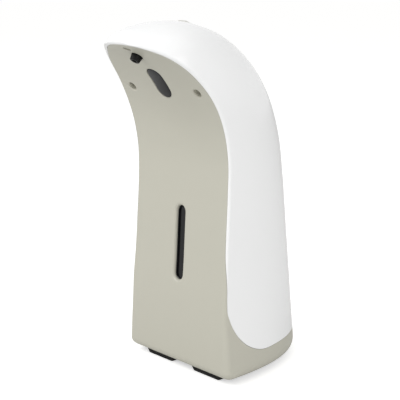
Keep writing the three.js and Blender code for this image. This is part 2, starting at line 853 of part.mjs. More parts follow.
const baseScrew = join(
  rod(screwHeadRadius, floorLevel, floorLevel + screwHeadHeight, 0, 0, smallSides),
  rod(screwRadius, floorLevel + screwHeadHeight / 2, baseScrewTop, 0, 0, smallSides),
);
for (const [name, x, y] of bossPlaces) {
  add(`base_screw_${name}`, baseScrew, steel, root, x, y);
}

// Battery door, hung on two pins at its front edge, with a latch and a finger groove at the back
const pinEnd = doorSide + doorPinLength;
const latchFront = bayBack - doorGap - latchThickness;
add('battery_door', cut(
  join(
    block(-doorSide, doorSide, hingePlace, bayBack - doorGap, floorLevel, plateTop),
    sideRod(plateThickness / 2, -doorSide, doorSide, hingePlace, hingeLevel, smallSides),
    sideRod(doorPinRadius, -pinEnd, pinEnd, hingePlace, hingeLevel, smallSides),
    block(
      -latchWidth / 2, latchWidth / 2, latchFront, latchFront + latchThickness,
      plateTop - seat, plateTop + latchHeight,
    ),
  ),
  block(
    -latchWidth / 2, latchWidth / 2, latchFront - 2 * gripWidth, latchFront - gripWidth,
    0, floorLevel + gripDepth,
  ),
), blackPlastic);

// Rubber feet with sloped ends
function foot(inner, outer, front, width) {
  const back = front + width;
  const level = (x0, x1, z) => [[x0, front], [x1, front], [x1, back], [x0, back]].map(
    ([x, y]) => new THREE.Vector3(x, y, z),
  );
  return loft([
    level(inner + footBevel, outer - footBevel, 0),
    level(inner, outer, floorLevel - seat),
  ]);
}
const footStart = frontEnd + footFront;
const footOuter = bodyWidth / 2 - footBorder;
const rearFootPlace = backEnd - rearFootBorder;
add('foot_front_left', foot(-footOuter, -footInner, footStart, footWidth), darkRubber);
add('foot_front_right', foot(footInner, footOuter, footStart, footWidth), darkRubber);
add('foot_rear_left', foot(-rearFootOuter, -footInner, rearFootPlace, rearFootWidth), darkRubber);
add('foot_rear_right', foot(footInner, rearFootOuter, rearFootPlace, rearFootWidth), darkRubber);

// Battery tray, open below, with its seal, the cells and their contacts

const trayBottom = plateTop + sealThickness + 2 * seat;
const cellLevel = plateTop + cellLift + cellRadius;
const trayRoof = cellLevel + cellRadius + gap;
const trayTop = trayRoof + trayWall;
const trayHalf = bayHalf + trayWall;
function trayRing(bottom, top) {
  return cut(
    common(
      block(-trayHalf, trayHalf, bayFront - trayWall, bayBack + trayWall, bottom, top),
      envelope(wall + gap, 0, false),
    ),
    block(-bayHalf, bayHalf, bayFront, bayBack, 0, trayRoof),
  );
}
add('battery_tray', trayRing(trayBottom, trayTop), innerPlastic);
add('battery_seal', trayRing(plateTop + seat, plateTop + seat + sealThickness), darkRubber);

const contactFace = bayHalf - seat - contactThickness;
const tipEndPlace = contactFace - contactBump - seat;
for (let i = 0; i < cellCount; i += 1) {
  const side = i % 2 ? -1 : 1;
  const cell = join(
    sideRod(cellRadius, tipEndPlace - cellTip - cellLength, tipEndPlace - cellTip, 0, 0, smallSides),
    sideRod(cellTipRadius, tipEndPlace - cellTip - seat, tipEndPlace, 0, 0, smallSides),
  );
  if (side < 0) cell.rotateZ(Math.PI);
  add(`battery_cell_${i + 1}`, cell, cellSkin, root, 0, bayFront + (i + 0.5) * cellPitch, cellLevel);
}

// A cone of wire that presses on the flat end of a cell
class SpringCurve extends THREE.Curve {
  getPoint(t) {
    const radius = THREE.MathUtils.lerp(springRadius, springEndRadius, t);
    const turn = t * springTurns * Math.PI * 2;
    const start = contactFace - springWire / 2;
    const end = cellLength + cellTip - tipEndPlace + springWire + seat;
    return new THREE.Vector3(
      THREE.MathUtils.lerp(start, end, t), radius * Math.cos(turn), radius * Math.sin(turn),
    );
  }
}

// Contact strip at the right end; the left one is the same strip turned round
function contactStrip(first) {
  const strip = [block(
    contactFace, contactFace + contactThickness, bayFront + gap, bayBack - gap,
    cellLevel - contactHeight / 2, cellLevel + contactHeight / 2,
  )];
  for (let i = 0; i < cellCount; i += 1) {
    const y = bayFront + (i + 0.5) * cellPitch;
    if (i % 2 === first) {
      const bumpFace = contactFace - contactBump;
      strip.push(sideRod(cellTipRadius, bumpFace, contactFace + seat, y, cellLevel, tubeSides));
    } else {
      const wire = ovalShape(springWire, springWire, springSides);
      strip.push(swept(wire, new SpringCurve(), springTurns * tubeSides).translate(0, y, cellLevel));
    }
  }
  return join(...strip);
}
add('battery_contact_right', contactStrip(0), steel);
add('battery_contact_left', contactStrip(0).rotateZ(Math.PI).translate(0, bayFront + bayBack, 0), steel);

// Peristaltic pump: a cup, a rotor with three rollers and the hose that they press on the cup's wall

// The axes of the motor, the wheel and the pump rotor
const motorPlace = backEnd - motorRoom;
const wheelPlace = motorPlace - gearModule * (pinionTeeth + wheelTeeth) / 2;
const rotorPlace = wheelPlace - gearModule * (smallTeeth + rotorTeeth) / 2;
const hoseRadius = pumpRadius - pumpWall - seat - hoseFlat / 2;
const hoseFront = rotorPlace - pumpRadius - hoseEnd;

const pumpBottom = trayTop + seat;
const pumpInside = pumpBottom + pumpFloor;
const lowDisc = pumpInside + gap;
const rollerBottom = lowDisc + rotorDiscThickness + gap;
const highDisc = rollerBottom + rollerHeight + gap;
const pumpTop = highDisc + rotorDiscThickness + gap;
const deckBottom = pumpTop + seat + pumpCoverThickness + seat;
const deckTop = deckBottom + deckThickness;
const wheelBottom = deckTop + gap;
const gearBottom = wheelBottom + gearWidth + gap;
const gearTop = gearBottom + gearWidth;
const rollerMiddle = rollerBottom + rollerHeight / 2;

add('pump_housing', cut(
  rod(pumpRadius, pumpBottom, pumpTop, 0, rotorPlace, 2 * smallSides),
  rod(pumpRadius - pumpWall, pumpInside, pumpTop + overrun, 0, rotorPlace, 2 * smallSides),
  rod(rotorShaftRadius + running, pumpBottom + pumpFloor / 2, pumpTop, 0, rotorPlace, smallSides),
  ...[-1, 1].map((side) => block(
    side * hoseRadius - hoseFlat / 2 - gap, side * hoseRadius + hoseFlat / 2 + gap,
    rotorPlace - pumpRadius - overrun, rotorPlace,
    rollerMiddle - hoseWidth / 2 - gap, rollerMiddle + hoseWidth / 2 + gap,
  )),
), innerPlastic);
add('pump_cover', cut(
  rod(pumpRadius, pumpTop + seat, pumpTop + seat + pumpCoverThickness, 0, rotorPlace, 2 * smallSides),
  rod(rotorShaftRadius + running, pumpTop, deckTop, 0, rotorPlace, smallSides),
), innerPlastic);

const rotorHolder = new THREE.Group();
rotorHolder.position.set(0, rotorPlace, 0);
root.add(rotorHolder);
const rollerPlaces = Array.from({ length: rollerCount }, (_, i) => {
  const turn = Math.PI / 2 + (i / rollerCount) * Math.PI * 2;
  return [rollerOrbit * Math.cos(turn), rollerOrbit * Math.sin(turn)];
});
add('pump_rotor', join(
  rod(rotorShaftRadius, pumpBottom + pumpFloor / 2 + seat, gearTop + seat, 0, 0, smallSides),
  rod(rotorDisc, lowDisc, lowDisc + rotorDiscThickness),
  rod(rotorDisc, highDisc, highDisc + rotorDiscThickness),
  ...rollerPlaces.map(([x, y]) => rod(
    rollerPinRadius, lowDisc + rotorDiscThickness / 2, highDisc + rotorDiscThickness / 2, x, y, smallSides,
  )),
), gearPlastic, rotorHolder);
const rollerTop = rollerBottom + rollerHeight;
const roller = cut(
  rod(rollerRadius, rollerBottom, rollerTop),
  rod(rollerPinRadius + running, rollerBottom - overrun, rollerTop + overrun, 0, 0, smallSides),
);
rollerPlaces.forEach(([x, y], i) => add(`pump_roller_${i + 1}`, roller, gearPlastic, rotorHolder, x, y));

// The hose runs in at one side, half way round the cup and out at the other side
class HoseCurve extends THREE.Curve {
  getPoint(t) {
    const straight = rotorPlace - hoseFront;
    const arc = Math.PI * hoseRadius;
    const run = t * (2 * straight + arc);
    if (run < straight) return new THREE.Vector3(-hoseRadius, hoseFront + run, rollerMiddle);
    if (run > straight + arc) {
      return new THREE.Vector3(hoseRadius, rotorPlace - (run - straight - arc), rollerMiddle);
    }
    const turn = Math.PI - (run - straight) / hoseRadius;
    return new THREE.Vector3(
      hoseRadius * Math.cos(turn), rotorPlace + hoseRadius * Math.sin(turn), rollerMiddle,
    );
  }
}

// Rings of a flat oval section carried round the hose's path
function hoseRings(curve, count, halfFlat, halfWide) {
  return Array.from({ length: count + 1 }, (_, i) => {
    const point = curve.getPoint(i / count);
    const tangent = curve.getTangent(i / count);
    const across = new THREE.Vector3(tangent.y, -tangent.x, 0).normalize();
    return Array.from({ length: tubeSides }, (_unused, j) => {
      const turn = (j / tubeSides) * Math.PI * 2;
      return point.clone().addScaledVector(across, halfFlat * Math.cos(turn))
        .add(new THREE.Vector3(0, 0, halfWide * Math.sin(turn)));
    });
  });
}
const hoseCurve = new HoseCurve();
add('pump_hose', cut(
  loft(hoseRings(hoseCurve, hoseSteps, hoseFlat / 2, hoseWidth / 2)),
  loft(hoseRings(hoseCurve, hoseSteps, hoseBoreFlat / 2, hoseBoreWidth / 2)),
), silicone);

// Gears with straight-sided teeth; the first tooth points along a given angle
function gearShape(teeth, start, bore) {
  const pitch = gearModule * teeth / 2;
  const step = (Math.PI * 2) / teeth;
  const points = [];
  for (let i = 0; i < teeth; i += 1) {
    const middle = start + i * step;
    const sides = [[0, -1], [2, -1], [2, 1], [0, 1]];
    for (const [level, side] of sides) {
      const radius = pitch + gearModule * toothReachShares[level];
      const turn = middle + side * toothWidthShares[level] * step / 2;
      points.push(new THREE.Vector2(radius * Math.cos(turn), radius * Math.sin(turn)));
    }
  }
  const shape = new THREE.Shape(points);
  const hole = ovalShape(bore, bore, smallSides).getPoints();
  shape.holes.push(new THREE.Path(hole));
  return shape;
}

function gear(teeth, start, bore, bottom, width) {
  const outline = gearShape(teeth, start, bore);
  return new THREE.ExtrudeGeometry(outline, { depth: width, bevelEnabled: false }).translate(0, 0, bottom);
}

const toothAhead = Math.PI / 2;
add('rotor_gear', merged(gear(
  rotorTeeth, toothAhead + Math.PI / rotorTeeth, rotorShaftRadius + seat / 2, gearBottom, gearWidth,
)), gearPlastic, rotorHolder);

const wheelHolder = new THREE.Group();
wheelHolder.position.set(0, wheelPlace, 0);
root.add(wheelHolder);
const wheelBore = pinRadius + running;
const smallBottom = wheelBottom + gearWidth / 2;
add('reduction_gear', join(
  gear(wheelTeeth, toothAhead + Math.PI / wheelTeeth, wheelBore, wheelBottom, gearWidth),
  gear(smallTeeth, -toothAhead, wheelBore, smallBottom, gearTop - smallBottom),
), gearPlastic, wheelHolder);
const gearPin = rod(pinRadius, deckBottom + seat, gearTop + pinProud, 0, 0, smallSides);
add('gear_pin', gearPin, steel, wheelHolder);

// Motor, hung under the gear deck, with its shaft and pinion

const motorHolder = new THREE.Group();
motorHolder.position.set(0, motorPlace, 0);
root.add(motorHolder);
const motorTop = deckBottom - seat;
const shaftTop = motorTop + motorShaftProud;
add('motor', cut(
  join(
    common(
      rod(motorWidth / 2, motorTop - motorLength, motorTop),
      block(-motorWidth, motorWidth, -motorDepth / 2, motorDepth / 2, 0, bodyHeight),
    ),
    rod(motorBossRadius, motorTop - seat, motorTop + motorBossHeight, 0, 0, smallSides),
  ),
  rod(motorShaftRadius + running, shaftTop - motorShaftLength - gap, bodyHeight, 0, 0, smallSides),
), steel, motorHolder);
add('motor_shaft', rod(
  motorShaftRadius, shaftTop - motorShaftLength, shaftTop, 0, 0, smallSides,
), steel, motorHolder);
add('motor_pinion', merged(gear(
  pinionTeeth, -toothAhead, motorShaftRadius + seat / 2, wheelBottom, gearWidth,
)), brass, motorHolder);

const deckStart = rotorPlace - deckFront;
const deckEnd = motorPlace + deckRear;
const legY = motorPlace + motorDepth / 2 - legWidth;
const legX = deckHalfWidth - legPlace;
add('gear_deck', cut(
  join(
    block(-deckHalfWidth, deckHalfWidth, deckStart, deckEnd, deckBottom, deckTop),
    ...[-legX, legX].map((x) => block(
      x - legWidth / 2, x + legWidth / 2, legY, legY + legWidth, plateTop + seat, deckTop - seat,
    )),
  ),
  rod(rotorShaftRadius + gap, 0, bodyHeight, 0, rotorPlace, smallSides),
  rod(pinRadius + seat / 2, 0, bodyHeight, 0, wheelPlace, smallSides),
  rod(motorBossRadius + seat, 0, bodyHeight, 0, motorPlace, smallSides),
), innerPlastic);

// Tank with a tilted filling collar at the top and an outlet spout at the bottom

const tankBottom = gearTop + pinProud + tankUnderRoom;
const [tankShoulder, tankTop, tankThroat] = tankLevelShares.map(
  (share) => THREE.MathUtils.lerp(tankBottom, capPoint.y, share),
);
const shoulderShare = (tankShoulder - baseLift) / shellHeight;
const tankHalfWidth = halfWidth(shoulderShare, 0) - tankSideRoom;
const tankStart = along(faceCurve, shoulderShare).x + tankFrontRoom;
const tankDepth = along(backCurve, tankBackPlaceShare).x - tankBackRoom - tankStart;
const tankMiddle = tankStart + tankDepth / 2;
const spoutY = tankStart + spoutPlace;
function collarPlace(depth) {
  return new THREE.Vector3(0, 0, depth).applyMatrix4(capFrame);
}

function tankForm(inset, bottom, top) {
  const halfX = tankHalfWidth - inset;
  const halfY = tankDepth / 2 - inset;
  const neckLow = collarPlace(collarTop - collarLength);
  const neckHigh = collarPlace(top);
  const neck = inset ? collarBore : collarRadius;
  return loft([
    ovalRing(halfX * tankFloorShare, halfY * tankFloorShare, tankPower, tankMiddle, bottom, 0),
    ovalRing(halfX, halfY, tankPower, tankMiddle, bottom + tankFloorRound, 0),
    ovalRing(halfX, halfY, tankPower, tankMiddle, tankShoulder, 0),
    ...[[shoulderShares, tankTop], [throatShares, tankThroat]].map(([[x, y, shift], z]) => ovalRing(
      tankHalfWidth * x - inset, tankDepth / 2 * y - inset, tankPower,
      tankMiddle - shift * tankDepth / 2, z, 0,
    )),
    ovalRing(neck, neck, 2, neckLow.y, neckLow.z, capTilt),
    ovalRing(neck, neck, 2, neckHigh.y, neckHigh.z, capTilt),
  ]);
}

const spoutEnd = tankBottom - spoutLength;
add('tank', cut(
  join(
    tankForm(0, tankBottom, collarTop),
    rod(spoutRadius, spoutEnd, tankBottom + tankWall / 2, -hoseRadius, spoutY, smallSides),
  ),
  tankForm(tankWall, tankBottom + tankWall, collarTop + overrun),
  rod(spoutBore, spoutEnd - overrun, tankBottom + overrun, -hoseRadius, spoutY, smallSides),
), clearPlastic);

// Suction tube from the tank to the pump, and outlet tube from the pump up to the nozzle

const tubeShape = ovalShape(tubeRadius, tubeRadius, tubeSides, tubeBore, tubeBore);
const suctionPath = new THREE.CatmullRomCurve3([
  new THREE.Vector3(-hoseRadius, spoutY, spoutEnd - gap),
  new THREE.Vector3(-hoseRadius, spoutY, spoutEnd - 2 * tubeRadius),
  new THREE.Vector3(-hoseRadius, spoutY + tubeRadius / 2, rollerMiddle + 2 * tubeRadius),
  new THREE.Vector3(-hoseRadius, hoseFront - tubeRadius, rollerMiddle),
  new THREE.Vector3(-hoseRadius, hoseFront - gap, rollerMiddle),
]);
add('suction_tube', merged(swept(tubeShape, suctionPath, suctionSteps)), silicone);

const riserSide = tankHalfWidth + tubeRadius + riserRoom;
const riserPlace = tankStart + riserInset;
const barbEnd = barbLength + gap;
const nozzleBack = new THREE.Vector3(barbEnd, 0, -barbDepth).applyMatrix4(nozzleFrame);
const nozzleAway = new THREE.Vector3(barbEnd + 2 * tubeRadius, 0, -barbDepth).applyMatrix4(nozzleFrame);

// A point between the top of the riser and the nozzle, in shares of the distances
function wayPoint(side, [across, ahead, up]) {
  return new THREE.Vector3(
    side * riserSide * across,
    THREE.MathUtils.lerp(riserPlace, nozzleBack.y, ahead),
    THREE.MathUtils.lerp(tankShoulder, nozzleBack.z, up),
  );
}
const bendAway = new THREE.Vector3(3, -3, 2);
const outletPath = new THREE.CatmullRomCurve3([
  new THREE.Vector3(hoseRadius, hoseFront - gap, rollerMiddle),
  new THREE.Vector3(hoseRadius, hoseFront - tubeRadius, rollerMiddle),
  new THREE.Vector3(hoseRadius, hoseFront, rollerMiddle).addScaledVector(bendAway, tubeRadius),
  new THREE.Vector3(riserSide - tubeRadius, riserPlace, tankBottom),
  new THREE.Vector3(riserSide, riserPlace, tankBottom + 5 * tubeRadius),
  new THREE.Vector3(riserSide, riserPlace, (tankBottom + tankShoulder) / 2),
  new THREE.Vector3(riserSide, riserPlace, tankShoulder),
  wayPoint(1, bendShares),
  wayPoint(1, crossShares),
  nozzleAway,
  nozzleBack,
]);
add('outlet_tube', merged(swept(tubeShape, outletPath, riserSteps)), silicone);

// Main board with its chip and capacitor, and the cable up to the sensor board

const mainFront = frontEnd + mainBoardBack;
const mainBack = mainFront + boardThickness;
const mainBottom = plateTop + seat;
const mainTop = mainBottom + mainBoardHeight;
add('main_board', block(
  -mainBoardWidth / 2, mainBoardWidth / 2, mainFront, mainBack, mainBottom, mainTop,
), boardGreen);
add('controller_chip', block(
  -chipSize / 2, chipSize / 2, mainBack + seat, mainBack + seat + chipHeight,
  mainBottom + mainBoardHeight / 2 - chipSize / 2, mainBottom + mainBoardHeight / 2 + chipSize / 2,
), blackPlastic);
add('capacitor', rod(
  capacitorRadius, mainBottom + mainBoardHeight / 2, mainBottom + mainBoardHeight / 2 + capacitorHeight,
  mainBoardWidth / 4, mainBack + seat + capacitorRadius, smallSides,
), steel);

const cableEnd = boardBack - gap;
const boardEnds = [cableEnd - 2 * cableWidth, cableEnd].map(
  (z) => new THREE.Vector3(-sensorBoardWidth / 4, 0, z).applyMatrix4(sensorFrame),
);
const cableShape = new THREE.Shape([
  [-cableThickness / 2, -cableWidth / 2], [cableThickness / 2, -cableWidth / 2],
  [cableThickness / 2, cableWidth / 2], [-cableThickness / 2, cableWidth / 2],
].map(([x, y]) => new THREE.Vector2(x, y)));
const cablePath = new THREE.CatmullRomCurve3([
  new THREE.Vector3(-mainBoardWidth / 3, mainFront + boardThickness / 2, mainTop + gap),
  new THREE.Vector3(-mainBoardWidth / 3, mainBack, mainTop + cableWidth),
  new THREE.Vector3(-mainBoardWidth / 2, mainBack + cableWidth, tankBottom - cableWidth),
  new THREE.Vector3(-riserSide, riserPlace, tankBottom + 3 * cableWidth),
  new THREE.Vector3(-riserSide, riserPlace, (tankBottom + tankShoulder) / 2),
  new THREE.Vector3(-riserSide, riserPlace, tankShoulder),
  wayPoint(-1, bendShares),
  wayPoint(-1, crossShares),
  ...boardEnds,
]);
add('sensor_cable', merged(swept(cableShape, cablePath, riserSteps)), blackPlastic);

// Power slider in its slot on the back, with the switch behind it

const flangeBack = backWallPlace - wall - gap - 2 * sliderFlangeThickness;
add('power_slider', join(
  block(
    -sliderWidth / 2, sliderWidth / 2, flangeBack, backWallPlace + sliderProud,
    sliderZ - sliderHeight / 2, sliderZ + sliderHeight / 2,
  ),
  block(
    -sliderWidth / 2 - sliderFlange, sliderWidth / 2 + sliderFlange, flangeBack,
    flangeBack + sliderFlangeThickness,
    sliderZ - sliderHeight / 2 - sliderFlange, sliderZ + sliderHeight / 2 + sliderFlange,
  ),
), blackPlastic);
const switchBack = flangeBack - gap - switchDepth;
add('power_switch', block(
  -switchHalfWidth, switchHalfWidth, switchBack, flangeBack - gap,
  sliderZ - switchHalfHeight, sliderZ + switchHalfHeight,
), steel);
add('switch_board', block(
  -switchBoardHalfWidth, switchBoardHalfWidth, switchBack - seat - boardThickness, switchBack - seat,
  plateTop + seat, plateTop + seat + switchBoardHeight,
), boardGreen);

export default root;
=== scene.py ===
"""Automatic soap dispenser: the finished looks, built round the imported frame."""
import math
import bmesh
import bpy
import numpy as np
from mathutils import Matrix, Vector


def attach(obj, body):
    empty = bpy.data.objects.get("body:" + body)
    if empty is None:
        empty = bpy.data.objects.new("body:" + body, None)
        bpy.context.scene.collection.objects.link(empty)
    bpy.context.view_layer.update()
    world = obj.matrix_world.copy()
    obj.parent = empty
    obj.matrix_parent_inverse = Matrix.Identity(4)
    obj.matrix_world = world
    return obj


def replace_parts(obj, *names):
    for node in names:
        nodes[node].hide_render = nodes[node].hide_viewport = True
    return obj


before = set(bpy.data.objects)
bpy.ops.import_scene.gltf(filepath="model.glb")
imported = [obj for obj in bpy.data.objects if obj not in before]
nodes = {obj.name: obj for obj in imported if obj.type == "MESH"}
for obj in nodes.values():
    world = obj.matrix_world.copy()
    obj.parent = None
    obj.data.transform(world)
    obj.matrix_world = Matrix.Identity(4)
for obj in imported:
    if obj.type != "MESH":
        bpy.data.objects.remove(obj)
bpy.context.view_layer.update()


# Camera: a long lens a little above the dispenser, to the right of its front.
# It looks slightly down, level from side to side.
camera_place = (0.40231, -0.36534, 0.2066)
camera_round = math.radians(47.892)
camera_down = math.radians(11.872)
camera_way = Vector((
    -math.sin(camera_round) * math.cos(camera_down),
    math.cos(camera_round) * math.cos(camera_down),
    -math.sin(camera_down),
))
camera = bpy.data.objects.new("camera", bpy.data.cameras.new("camera"))
camera.data.lens = 91.23
camera.data.sensor_width = 36
camera.location = camera_place
camera.rotation_euler = camera_way.to_track_quat("-Z", "Y").to_euler()
bpy.context.scene.collection.objects.link(camera)
bpy.context.scene.camera = camera


# Studio: an even pale sky, large soft lamps to the left of the front and at the right, a weak one above.
# The sky is white where it is seen straight, in gloss or through glass.
sky_level = 0.58
bpy.context.scene.view_settings.view_transform = "Standard"
world = bpy.data.worlds.new("studio")
bpy.context.scene.world = world
world.use_nodes = True
sky = world.node_tree
sky.nodes.clear()


def fed(tree, node, *values, **named):
    """Fills a shader node. Unnamed values go to its first inputs, and a named one to the input of that name,
    or to the setting of that name if it is in small letters. A value is a number, a colour or a socket."""
    inputs = list(zip(node.inputs, values))
    for label, value in named.items():
        if label.islower():
            setattr(node, label, value)
        else:
            inputs.append((node.inputs[label.replace("_", " ")], value))
    for entry, value in inputs:
        if isinstance(value, bpy.types.NodeSocket):
            tree.links.new(value, entry)
        else:
            entry.default_value = value
    return node


def added(tree, kind, *values, **named):
    """The outputs of a new shader node, filled with the values."""
    return fed(tree, tree.nodes.new("ShaderNode" + kind), *values, **named).outputs


def sums(tree, kind, *values):
    """The result of a maths node on sockets or plain numbers."""
    return added(tree, "Math", *values, operation=kind)[0]


sky_ray = added(sky, "LightPath")
sky_straight = sums(sky, "MAXIMUM", sky_ray["Is Camera Ray"], sky_ray["Is Glossy Ray"])
sky_bright = sums(sky, "MAXIMUM", sky_straight, sky_ray["Is Transmission Ray"])
sky_light = added(sky, "Background", Color=(1.0, 0.995, 0.985, 1), Strength=sky_level)
sky_seen = added(sky, "Background", Color=(1, 1, 1, 1), Strength=1.0)
sky_mix = added(sky, "MixShader", sky_bright, sky_light[0], sky_seen[0])
added(sky, "OutputWorld", Surface=sky_mix[0])


def lamp(name, place, target, size, watts):
    """A square soft lamp at a place, turned to face a target."""
    light = bpy.data.lights.new(name, "AREA")
    light.size = size
    light.energy = watts
    holder = bpy.data.objects.new(name, light)
    holder.location = place
    way = Vector(target) - Vector(place)
    holder.rotation_euler = way.to_track_quat("-Z", "Y").to_euler()
    bpy.context.scene.collection.objects.link(holder)


lamp("front_lamp", (-0.45, -1.05, 0.95), (0, 0, 0.09), 0.8, 9.85)
lamp("side_lamp", (1.2, -0.35, 0.6), (0, 0, 0.09), 0.8, 5.5)
lamp("top_lamp", (0.35, 0.1, 1.3), (0, 0, 0.1), 0.9, 0.8)


# Floor: a pale sheet under the dispenser that keeps its soft shadow.
# It is made of one flat grid, and glows where the camera sees it, up to white.
floor_half = 12.0
floor_colour = (0.80, 0.80, 0.795, 1)
floor_glow = 0.535
floor_lines = np.linspace(-floor_half, floor_half, 9)
floor_x, floor_y = np.meshgrid(floor_lines, floor_lines)


def quads(rows, columns):
    """Corner numbers of the squares of a grid of points kept row by row."""
    corner = np.arange(rows * columns).reshape(rows, columns)
    ring = [corner[:-1, :-1], corner[:-1, 1:], corner[1:, 1:], corner[1:, :-1]]
    return np.stack(ring, -1).reshape(-1, 4)


def made(name, points, faces=None):
    """A mesh object of that name from points and lists of corner numbers, or from a grid of points alone."""
    faces = quads(*points.shape[:2]) if faces is None else faces
    mesh = bpy.data.meshes.new(name)
    mesh.from_pydata(points.reshape(-1, 3).tolist(), [], faces.tolist())
    mesh.update()
    piece = bpy.data.objects.new(name, mesh)
    bpy.context.scene.collection.objects.link(piece)
    return piece


floor = made("floor", np.stack([floor_x, floor_y, 0 * floor_x], -1))
floor_finish = bpy.data.materials.new("floor")
floor_finish.use_nodes = True
floor_tree = floor_finish.node_tree
floor_tree.nodes.clear()
floor_seen = added(floor_tree, "LightPath")["Is Camera Ray"]
floor_skin = added(floor_tree, "BsdfDiffuse", Color=floor_colour)
floor_lit = added(floor_tree, "Emission", Strength=sums(floor_tree, "MULTIPLY", floor_seen, floor_glow))
floor_sum = added(floor_tree, "AddShader", floor_skin[0], floor_lit[0])
added(floor_tree, "OutputMaterial", Surface=floor_sum[0])
floor.data.materials.append(floor_finish)


# Rear cover: the glossy white shell over the top, the back and the sides, down to the curved line.
# It is one injection moulding, 2 mm thick, that comes round the front corners as a narrow rim. Lengths are in
# metres here, and a share is a part of the way up the face or the back, 0 at the base and 1 past the tip.
body_depth, body_width, base_lift, shell_height = 0.124, 0.0825, 0.0026, 0.1872
tip_back, tip_power, tip_turn = 0.0046, 2.46, 0.707
cover_rim, low_rim, tip_rim, cover_gap = 0.0014, 0.000137, 0.0014, 0.00015
rim_thickens, rim_widens, corner_turns = (0.24, 0.36), (0.84, 0.97), (0.12, 0.24)
base_raise, base_round, base_corner, upper_corner, nose_round = 0.0005, 0.006, 0.003, 0.0018, 0.0032
shell_wall, edge_wall, shell_growth = 0.002, 0.0003, 0.18
skirt_top, skirt_rise, skirt_run, skirt_start = 0.0145, 0.0335, 0.0322, 0.0012
section_power, corner_columns, side_columns, column_spread = 0.8, 8, 76, 1.25
face_profile = np.array([
    (-0.156, 0), (-0.158, 0.11), (-0.154, 0.214), (-0.142, 0.32), (-0.133, 0.426), (-0.124, 0.531),
    (-0.125, 0.635), (-0.161, 0.737), (-0.239, 0.83), (-0.36, 0.909), (-0.499, 0.952),
]) * (body_depth, shell_height) + (0, base_lift)
back_profile = np.array([
    (0.498, 0), (0.479, 0.1445), (0.459, 0.283), (0.435, 0.421), (0.4085, 0.559), (0.368, 0.696),
    (0.279, 0.821), (0.135, 0.921), (-0.051, 0.986), (-0.257, 0.999), (-0.462, 0.969),
]) * (body_depth, shell_height) + (0, base_lift)
width_profile = body_width * np.array([
    0.508, 0.488, 0.471, 0.46, 0.456, 0.453, 0.455, 0.453, 0.437, 0.403, 0.279])[:, None]


def through(points, share):
    """Smooth curve through evenly spaced points, at a share of the way: between two neighbours, a cubic whose
    end slopes are half the step over the points on either side."""
    reach = np.clip(share, 0, 1) * (len(points) - 1)
    step = np.clip(np.floor(reach).astype(int), 0, len(points) - 2)
    w = (reach - step)[..., None]
    before, start, end, after = (points[np.clip(step + k, 0, len(points) - 1)] for k in (-1, 0, 1, 2))
    leave, arrive = (end - before) / 2, (after - start) / 2
    return ((2 * (start - end) + leave + arrive) * w ** 3
            + (3 * (end - start) - 2 * leave - arrive) * w ** 2 + leave * w + start)


def along(points, share):
    """Point of a side profile, carried on in a straight line past its ends."""
    share = np.asarray(share, float)
    held = np.clip(share, 0, 1)
    near = np.where(held < 0.5, held + 0.01, held - 0.01)
    slope = (through(points, held) - through(points, near)) / (held - near)[..., None]
    return through(points, held) + slope * (share - held)[..., None]


face_shares = np.linspace(0, 1, 2001)
face_steps = np.linalg.norm(np.diff(through(face_profile, face_shares), axis=0), axis=1)
face_ways = np.concatenate([[0], np.cumsum(face_steps)])
face_length = face_ways[-1]


def tip_end(inset):
    """Share at which the body, drawn in by an inset, comes to its tip."""
    return 1 - (tip_back + inset) / face_length


def smooth(share, start, end):
    """Smooth step from 0 to 1 between two shares: t squared times (3 - 2t)."""
    t = np.clip((share - start) / (end - start), 0, 1)
    return t * t * (3 - 2 * t)


def half_width(share, inset, end=None):
    """Half of the body's width less an inset. From tip_turn on it is multiplied by (1 - u^p)^(1/p), with p
    the tip_power."""
    straight = through(width_profile, np.clip(share, 0, 1))[..., 0] - inset
    turn = np.clip((share - tip_turn) / (tip_end(inset if end is None else end) - tip_turn), 0, 1)
    return straight * (1 - turn ** tip_power) ** (1 / tip_power)


def panel_half_width(share, gap):
    """Half width of the panel's opening: the rim beside it is thin low down and widened towards the tip.
    The gap is measured along the corner arc, so its share of the width is the cosine of the arc's turn."""
    rim = low_rim + (cover_rim - low_rim) * smooth(share, *rim_thickens)
    rim = rim + tip_rim * smooth(share, *rim_widens)
    turned = np.clip(1 - rim / corner_radius(share), 0, 1)
    return half_width(share, rim - gap * np.sqrt(1 - turned ** 2), cover_rim + tip_rim - gap)


def rounding(radius, distance):
    """How far a rounded edge is drawn in at a distance d from its end: r - sqrt(r^2 - (r - d)^2)."""
    left = np.clip(radius - distance, 0, radius)
    return radius - np.sqrt(radius ** 2 - left ** 2)


def corner_radius(share):
    """Radius of the corner between the face and the side."""
    return base_corner + (upper_corner - base_corner) * smooth(share, *corner_turns)


def ends(share):
    """Front and back point of the section at a share, the way inward, and how far the base draws it in."""
    front, back = along(face_profile, share), along(back_profile, share)
    inward = back - front
    inward = inward / np.linalg.norm(inward, axis=-1, keepdims=True)
    drawn = rounding(base_round, share * face_length - base_raise)
    depth = (drawn + rounding(nose_round, (tip_end(0) - share) * face_length))[..., None]
    return front + inward * depth, back - inward * depth, inward, drawn


